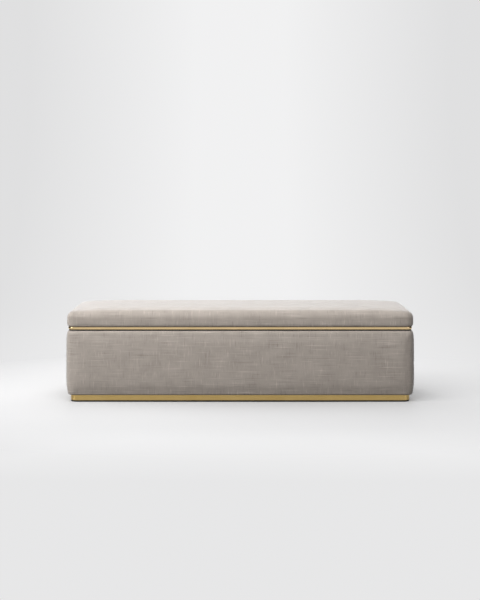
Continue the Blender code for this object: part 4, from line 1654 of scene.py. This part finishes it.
hinge_middles = {}
for label in ("left", "middle", "right"):
    low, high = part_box(f"hinge_{label}_pin")
    hinge_middles[label] = Vector(((low.x + high.x) / 2, lid_axis.y, lid_axis.z))
for label, middle in hinge_middles.items():
    lower = placed(hinge_leaf(-GAP / 2 - LEAF, taken=0, facing=1), middle)
    upper = placed(hinge_leaf(GAP / 2, taken=1, facing=-1), middle)
    hard_piece(f"rim_leaf_{label}", lower, "steel", "box", f"hinge_{label}_box_leaf")
    hard_piece(f"lid_leaf_{label}", upper, "steel", "lid", f"hinge_{label}_lid_leaf")
    hard_piece(f"pin_{label}", placed(hinge_pin(), middle), "steel", "box", f"hinge_{label}_pin")
print("hinges:", len(hinge_middles))

# %% [markdown]
# ## Screws
# Countersunk screws hold the hinges, and screws with domed heads hold the struts' brackets. One of each
# kind is turned, and a cross-shaped recess is cut into its head. Copies of it then go where screws are, as
# one piece for each kind and each body that it rides on.

# %% Make the screws
SHANK_LENGTH = 0.012
SHANK_TIP = 0.0004
SHANK_TAPER = 0.8
SCREW_SUNK = 0.0001
RECESS = (0.0042, 0.0009, 0.0007)
PAN_RADIUS = 0.0038
PAN_HEIGHT = 0.0022
PLATE = 0.002
BRACKET_SCREW_RISE = 0.021
BRACKET_SCREW_IN = 0.006
FOOT_SCREW_ALONG = 0.009
FOOT_SCREW_IN = 0.020


def shank():
    """Profile of a screw's pointed shank, up to its head at height 0."""
    taper = (-SHANK_TAPER * SHANK_LENGTH, SHANK_TAPER * SCREW_SHANK)
    return [(-SHANK_LENGTH, SHANK_TIP), taper, (0, SCREW_SHANK)]


def with_recess(shape, top):
    """Cuts a cross-shaped recess into a screw's head."""
    long, wide, deep = RECESS
    for size_x, size_y in ((long, wide), (wide, long)):
        bar = box_between((-size_x / 2, -size_y / 2, top - deep), (size_x / 2, size_y / 2, top + deep))
        shape = combined(shape, bar, "DIFFERENCE")
    return shape


def countersunk_screw():
    """A screw whose head fills a leaf's hole, from the leaf's far face up."""
    top = LEAF - SCREW_SUNK
    return with_recess(turned(shank() + [(top, SCREW_HEAD - SCREW_SUNK)]), top)


def pan_screw():
    """A screw with a domed head that sits on a plate at height 0."""
    dome = [(PAN_HEIGHT * math.sin(t), PAN_RADIUS * math.cos(t) + SHANK_TIP) for t in quarter(DOME_STEPS)]
    return with_recess(turned(shank() + dome), PAN_HEIGHT)


def copies(shape, matrices):
    """A shape that holds a copy of another one at each place."""
    mesh = mesh_from_shape("helper", shape)
    result = bmesh.new()
    for matrix in matrices:
        first = len(result.verts)
        result.from_mesh(mesh)
        result.verts.ensure_lookup_table()
        bmesh.ops.transform(result, matrix=matrix, verts=result.verts[first:])
    bpy.data.meshes.remove(mesh)
    return result


def leaf_screws(level, turn):
    """Places of the screws in the leaves of all hinges."""
    rise = Vector((0, 0, level))
    places = [middle + spot + rise for middle in hinge_middles.values() for spot in screw_places()]
    return [Matrix.Translation(place) @ Matrix.Rotation(turn, 4, "X") for place in places]


def box_bracket_screws():
    """Places of two screws in each bracket on an end wall, facing into the box."""
    found = []
    for label, side in SIDES.items():
        low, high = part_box(f"strut_{label}_box_bracket")
        face = side * (inside_x - 2 * GAP - LINING - PLATE)
        turn = Matrix.Rotation(-side * math.pi / 2, 4, "Y")
        for rise in (-BRACKET_SCREW_RISE, BRACKET_SCREW_RISE):
            place = (face, low.y + BRACKET_SCREW_IN, (low.z + high.z) / 2 + rise)
            found.append(Matrix.Translation(place) @ turn)
    return found


def lid_bracket_screws():
    """Places of two screws in the foot of each bracket under the lid, facing down."""
    found = []
    for label, side in SIDES.items():
        low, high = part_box(f"strut_{label}_lid_bracket")
        inner = low.x if side > 0 else high.x
        for along in (-FOOT_SCREW_ALONG, FOOT_SCREW_ALONG):
            place = (inner + side * FOOT_SCREW_IN / 2, (low.y + high.y) / 2 + along, high.z - PLATE)
            found.append(Matrix.Translation(place) @ Matrix.Rotation(math.pi, 4, "X"))
    return found


rim_screws = leaf_screws(-GAP / 2 - LEAF, 0)
lid_screws = leaf_screws(GAP / 2 + LEAF, math.pi)
hard_piece("rim_screws", copies(countersunk_screw(), rim_screws), "steel", "box")
hard_piece("lid_screws", copies(countersunk_screw(), lid_screws), "steel", "lid")
hard_piece("wall_bracket_screws", copies(pan_screw(), box_bracket_screws()), "steel", "box")
hard_piece("lid_bracket_screws", copies(pan_screw(), lid_bracket_screws()), "steel", "lid")
print("screws:", len(rim_screws) + len(lid_screws) + len(box_bracket_screws()) + len(lid_bracket_screws()))

# %% [markdown]
# ## Bumpers and glides
# Four rubber buttons on the rim carry the closed lid, and six plastic glides carry the plinth. All are
# small turned pieces with rounded edges. A thin dark rubber strip behind the brass band paints the dark
# line at the bench's foot as shade, and also keeps light from under the plinth. Another dark strip under
# the lid's edge fills the gap above the rim, as painted shade on the parting line. The brackets are bent
# plate, so a bevel modifier softens their edges.

# %% Make the bumpers and glides
BUTTON_EDGE = 0.0008
GLIDE_EDGE = 0.0018
EDGE_STEPS = 4
BRACKET_BEVEL = 0.0004
BRACKET_BEVEL_STEPS = 2
FOOT_SHADE_STRIP = 0.0015
FOOT_SHADE_STRIP_LIFT = 0.0015
GAP_SHADE_STRIP = 0.005
GAP_SHADE_STRIP_OUT = 0.0028
GAP_SHADE_STRIP_CLEAR = 0.0004


def button(low, high, edge):
    """A round button in a solid's place, with rounded edges above and below."""
    radius = (high.x - low.x) / 2
    turns = reversed(quarter(EDGE_STEPS))
    ends = [(edge * (1 - math.sin(t)), radius - edge * (1 - math.cos(t))) for t in turns]
    tall = high.z - low.z
    profile = ends + [(tall - z, r) for z, r in reversed(ends)]
    return placed(turned(profile), ((low.x + high.x) / 2, (low.y + high.y) / 2, low.z))


def rubber_strips(name, reach, radius, levels, thick, body, sides):
    """Thin rubber strips between two levels, round the sides of a rectangle that are given."""
    low, high = levels
    section = [(0, low), (thick, low), (thick, high), (0, high)]
    paths = paths_round(reach, radius)
    for label in sides:
        hard_piece(f"{name}_{label}", strip(paths[label], section), "rubber", body)


# Painted shade: dark strips that make the dark line at the bench's foot, and block light under the plinth.
def make_foot_shade_strips():
    """Strips behind the plinth's bands, from their lower edge nearly to the floor."""
    low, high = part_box("plinth_band_front")
    inset = BAND + FOOT_SHADE_STRIP
    reach = Vector((high.x - inset, -low.y - inset))
    levels = (FOOT_SHADE_STRIP_LIFT, low.z - GAP)
    rubber_strips("foot_shade_strip", reach, PLINTH_CORNER - inset, levels, FOOT_SHADE_STRIP, "box", (*FACES, *SIDES))


# Painted shade: dark strips in the gap above the rim, which darken the parting line.
def make_gap_shade_strips():
    """Strips under the lid board's edge, outside the buttons, with none at the back by the hinges."""
    low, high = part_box("lid_board")
    out = GAP_SHADE_STRIP_OUT - GAP_SHADE_STRIP
    reach = Vector((high.x + out, high.y + out))
    levels = (rim + GAP_SHADE_STRIP_CLEAR, low.z)
    radius = TRIM_CORNER - TRIM - GAP + out
    rubber_strips("gap_shade_strip", reach, radius, levels, GAP_SHADE_STRIP, "lid", ("front", *SIDES))


for row in ("front", "end"):
    for side in SIDES:
        solid = f"bumper_{row}_{side}"
        shape = button(*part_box(solid), BUTTON_EDGE)
        hard_piece(f"rubber_button_{row}_{side}", shape, "rubber", "box", solid)
for row in FACES:
    for column in hinge_middles:
        solid = f"glide_{row}_{column}"
        shape = button(*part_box(solid), GLIDE_EDGE)
        hard_piece(f"foot_{row}_{column}", shape, "glide_plastic", "box", solid)
make_foot_shade_strips()
make_gap_shade_strips()
for side in SIDES:
    for end in ("box", "lid"):
        bracket = frame["nodes"][f"strut_{side}_{end}_bracket"]
        soft = bracket.modifiers.new("edges", "BEVEL")
        soft.width = BRACKET_BEVEL
        soft.segments = BRACKET_BEVEL_STEPS
        soft.limit_method = "ANGLE"
print("bumpers, glides and brackets: done")

# %% [markdown]
# ## Floor and backdrop
# The studio is a pale sheet that curves up behind the bench. It looks pale to the camera and in the brass,
# but gives back less light than white paper would, so the bench's front keeps its gentle shade towards the
# floor. Near the bench it is lit like paper, to show the shadow, and further off it fades to a glow with
# painted shade: darker towards both sides and towards the camera.

# %% Build the sheet
SWEEP_HALF_WIDTH = 9.0
SWEEP_FRONT = -9.0
SWEEP_BACK = 2.6
SWEEP_BEND = 2.0
SWEEP_TOP = 7.0
BEND_STEPS = 16
PALE = (0.88, 0.88, 0.885, 1)
PALE_SIDE = (0.745, 0.745, 0.75, 1)
PAPER_BY_BENCH = (0.66, 0.66, 0.665, 1)
PAPER_TO_LIGHT = (0.14, 0.138, 0.136, 1)
SIDE_SHADE_RANGE = (0.4, 1.9)
FADE = (0.3, 1.2)
FADE_SHAPE = (0.62, 1.0, 1.0)
FOREGROUND = (-0.9, -1.5)
FOREGROUND_SHADE_SHARE = 0.6


def seen_directly(tree):
    """1 for what the camera sees, also in a mirror or through glass, and 0 for the light's own paths."""
    rays = put(tree, "ShaderNodeLightPath").outputs
    shiny = calc(tree, "MAXIMUM", rays["Is Glossy Ray"], rays["Is Transmission Ray"])
    return calc(tree, "MAXIMUM", rays["Is Camera Ray"], shiny)


def make_paper():
    """Pale paper to the eye, and a greyer one to the light that it gives back."""
    material, tree, surface = start_finish("studio_paper")
    tree.nodes.remove(surface)
    paper = put(tree, "ShaderNodeBsdfDiffuse", {"Color": PAPER_BY_BENCH}).outputs[0]
    place = surface_coordinates(tree)
    parts = put(tree, "ShaderNodeSeparateXYZ", {0: place}).outputs
    # Painted shade: the glow is darker towards both sides and towards the camera.
    aside = ranged(tree, calc(tree, "ABSOLUTE", parts["X"]), *SIDE_SHADE_RANGE)
    forward = ranged(tree, parts["Y"], *FOREGROUND, 0.0, FOREGROUND_SHADE_SHARE)
    tone = blended(tree, calc(tree, "MAXIMUM", aside, forward), PALE, PALE_SIDE)
    glow = put(tree, "ShaderNodeEmission", {"Color": tone}).outputs[0]
    near = stretched(tree, place, FADE_SHAPE)
    far = put(tree, "ShaderNodeVectorMath", {0: near}, operation="LENGTH").outputs["Value"]
    fade = ranged(tree, far, *FADE)
    seen = put(tree, "ShaderNodeMixShader", {0: fade, 1: paper, 2: glow}).outputs[0]
    lighting = put(tree, "ShaderNodeBsdfDiffuse", {"Color": PAPER_TO_LIGHT}).outputs[0]
    mix = put(tree, "ShaderNodeMixShader", {0: seen_directly(tree), 1: lighting, 2: seen})
    tree.links.new(mix.outputs[0], tree.nodes["Material Output"].inputs["Surface"])
    return material


def make_sweep():
    """The sheet: floor, bend and backdrop."""
    profile = [(SWEEP_FRONT, 0.0), (SWEEP_BACK, 0.0)]
    for turn in quarter(BEND_STEPS)[1:]:
        profile.append((SWEEP_BACK + SWEEP_BEND * math.sin(turn), SWEEP_BEND * (1 - math.cos(turn))))
    profile.append((SWEEP_BACK + SWEEP_BEND, SWEEP_TOP))
    points = [(side, y, z) for y, z in profile for side in (-SWEEP_HALF_WIDTH, SWEEP_HALF_WIDTH)]
    faces = [(2 * row, 2 * row + 1, 2 * row + 3, 2 * row + 2) for row in range(len(profile) - 1)]
    mesh = mesh_from_points("studio_sweep", points, faces)
    sweep = add_object("studio_sweep", mesh, make_paper())


make_sweep()
print("sheet:", 2 * SWEEP_HALF_WIDTH, "m wide and", SWEEP_TOP, "m tall")

# %% [markdown]
# ## Light
# Soft lamps light the bench from the front, from both sides, from above and from behind, and a weak sky
# fills in the rest. Half of the lamps are kept out of the metal's reflections, and dark cards at both sides
# show only there: they draw the dark ends of the brass.

# %% Light the studio
SKY = (0.97, 0.98, 1.0, 1)
SKY_STRENGTH = 0.02
CARD_ASIDE = 3.0
CARD_ALONG = (-1.1, 3.4)
CARD_TALL = 3.0

# Each lamp's place, target, size, power, and whether metal shows it
LAMPS = {
    "key_softbox": ((-1.8, -2.2, 2.8), (0, 0, 0.3), (2.6, 1.6), 40, False),
    "front_softbox": ((-0.2, -1.2, 2.4), (0, -0.1, 0.3), (3.0, 1.2), 28, False),
    "strip_softbox": ((0.3, -4.4, 3.4), (0, 0, 0.3), (6.0, 0.6), 96, False),
    "left_softbox": ((-3.2, -0.2, 1.0), (-0.4, 0, 0.3), (3.0, 1.6), 41, False),
    "left_strip": ((-3.0, -1.7, 1.7), (-0.6, -0.2, 0.3), (0.8, 3.0), 27, True),
    "right_softbox": ((2.2, -1.6, 1.6), (0.4, 0, 0.2), (0.6, 1.8), 4, True),
    "top_softbox": ((0, 0.5, 2.3), (0, 0, 0.3), (3.0, 1.2), 17, True),
    "back_softbox": ((0, 2.2, 1.6), (0, 0, 0.4), (3.0, 1.0), 70, True),
}


def make_sky():
    """An even sky for the light, which the camera sees as pale paper."""
    world = bpy.data.worlds.new("studio_sky")
    world.use_nodes = True
    scene.world = world
    tree = world.node_tree
    lighting = tree.nodes["Background"]
    lighting.inputs["Color"].default_value = SKY
    lighting.inputs["Strength"].default_value = SKY_STRENGTH
    seen = put(tree, "ShaderNodeBackground", {"Color": PALE_SIDE, "Strength": 1.0})
    parts = {0: seen_directly(tree), 1: lighting.outputs[0], 2: seen.outputs[0]}
    mix = put(tree, "ShaderNodeMixShader", parts)
    tree.links.new(mix.outputs[0], tree.nodes["World Output"].inputs["Surface"])


def add_lamp(name, place, target, size, power, mirrored):
    """A soft rectangular lamp that points at a target, and that metal shows only if mirrored."""
    light = bpy.data.lights.new(name, "AREA")
    light.shape = "RECTANGLE"
    light.size, light.size_y = size
    light.energy = power
    lamp = bpy.data.objects.new(name, light)
    lamp.location = place
    lamp.rotation_mode = "QUATERNION"
    lamp.rotation_quaternion = (Vector(target) - Vector(place)).to_track_quat("-Z", "Y")
    lamp.visible_glossy = mirrored
    scene.collection.objects.link(lamp)


def add_card(side):
    """A dark card beside the bench, which only metal shows: it draws the dark ends of the brass."""
    low, high = CARD_ALONG
    corners = [(low, 0), (high, 0), (high, CARD_TALL), (low, CARD_TALL)]
    mesh = mesh_from_points("dark_card", [(side * CARD_ASIDE, y, z) for y, z in corners], [(0, 1, 2, 3)])
    card = add_object("dark_card", mesh, rubber)
    card.visible_camera = card.visible_diffuse = card.visible_shadow = False


make_sky()
for name, values in LAMPS.items():
    add_lamp(name, *values)
for side in SIDES.values():
    add_card(side)
scene.view_settings.view_transform = "Standard"
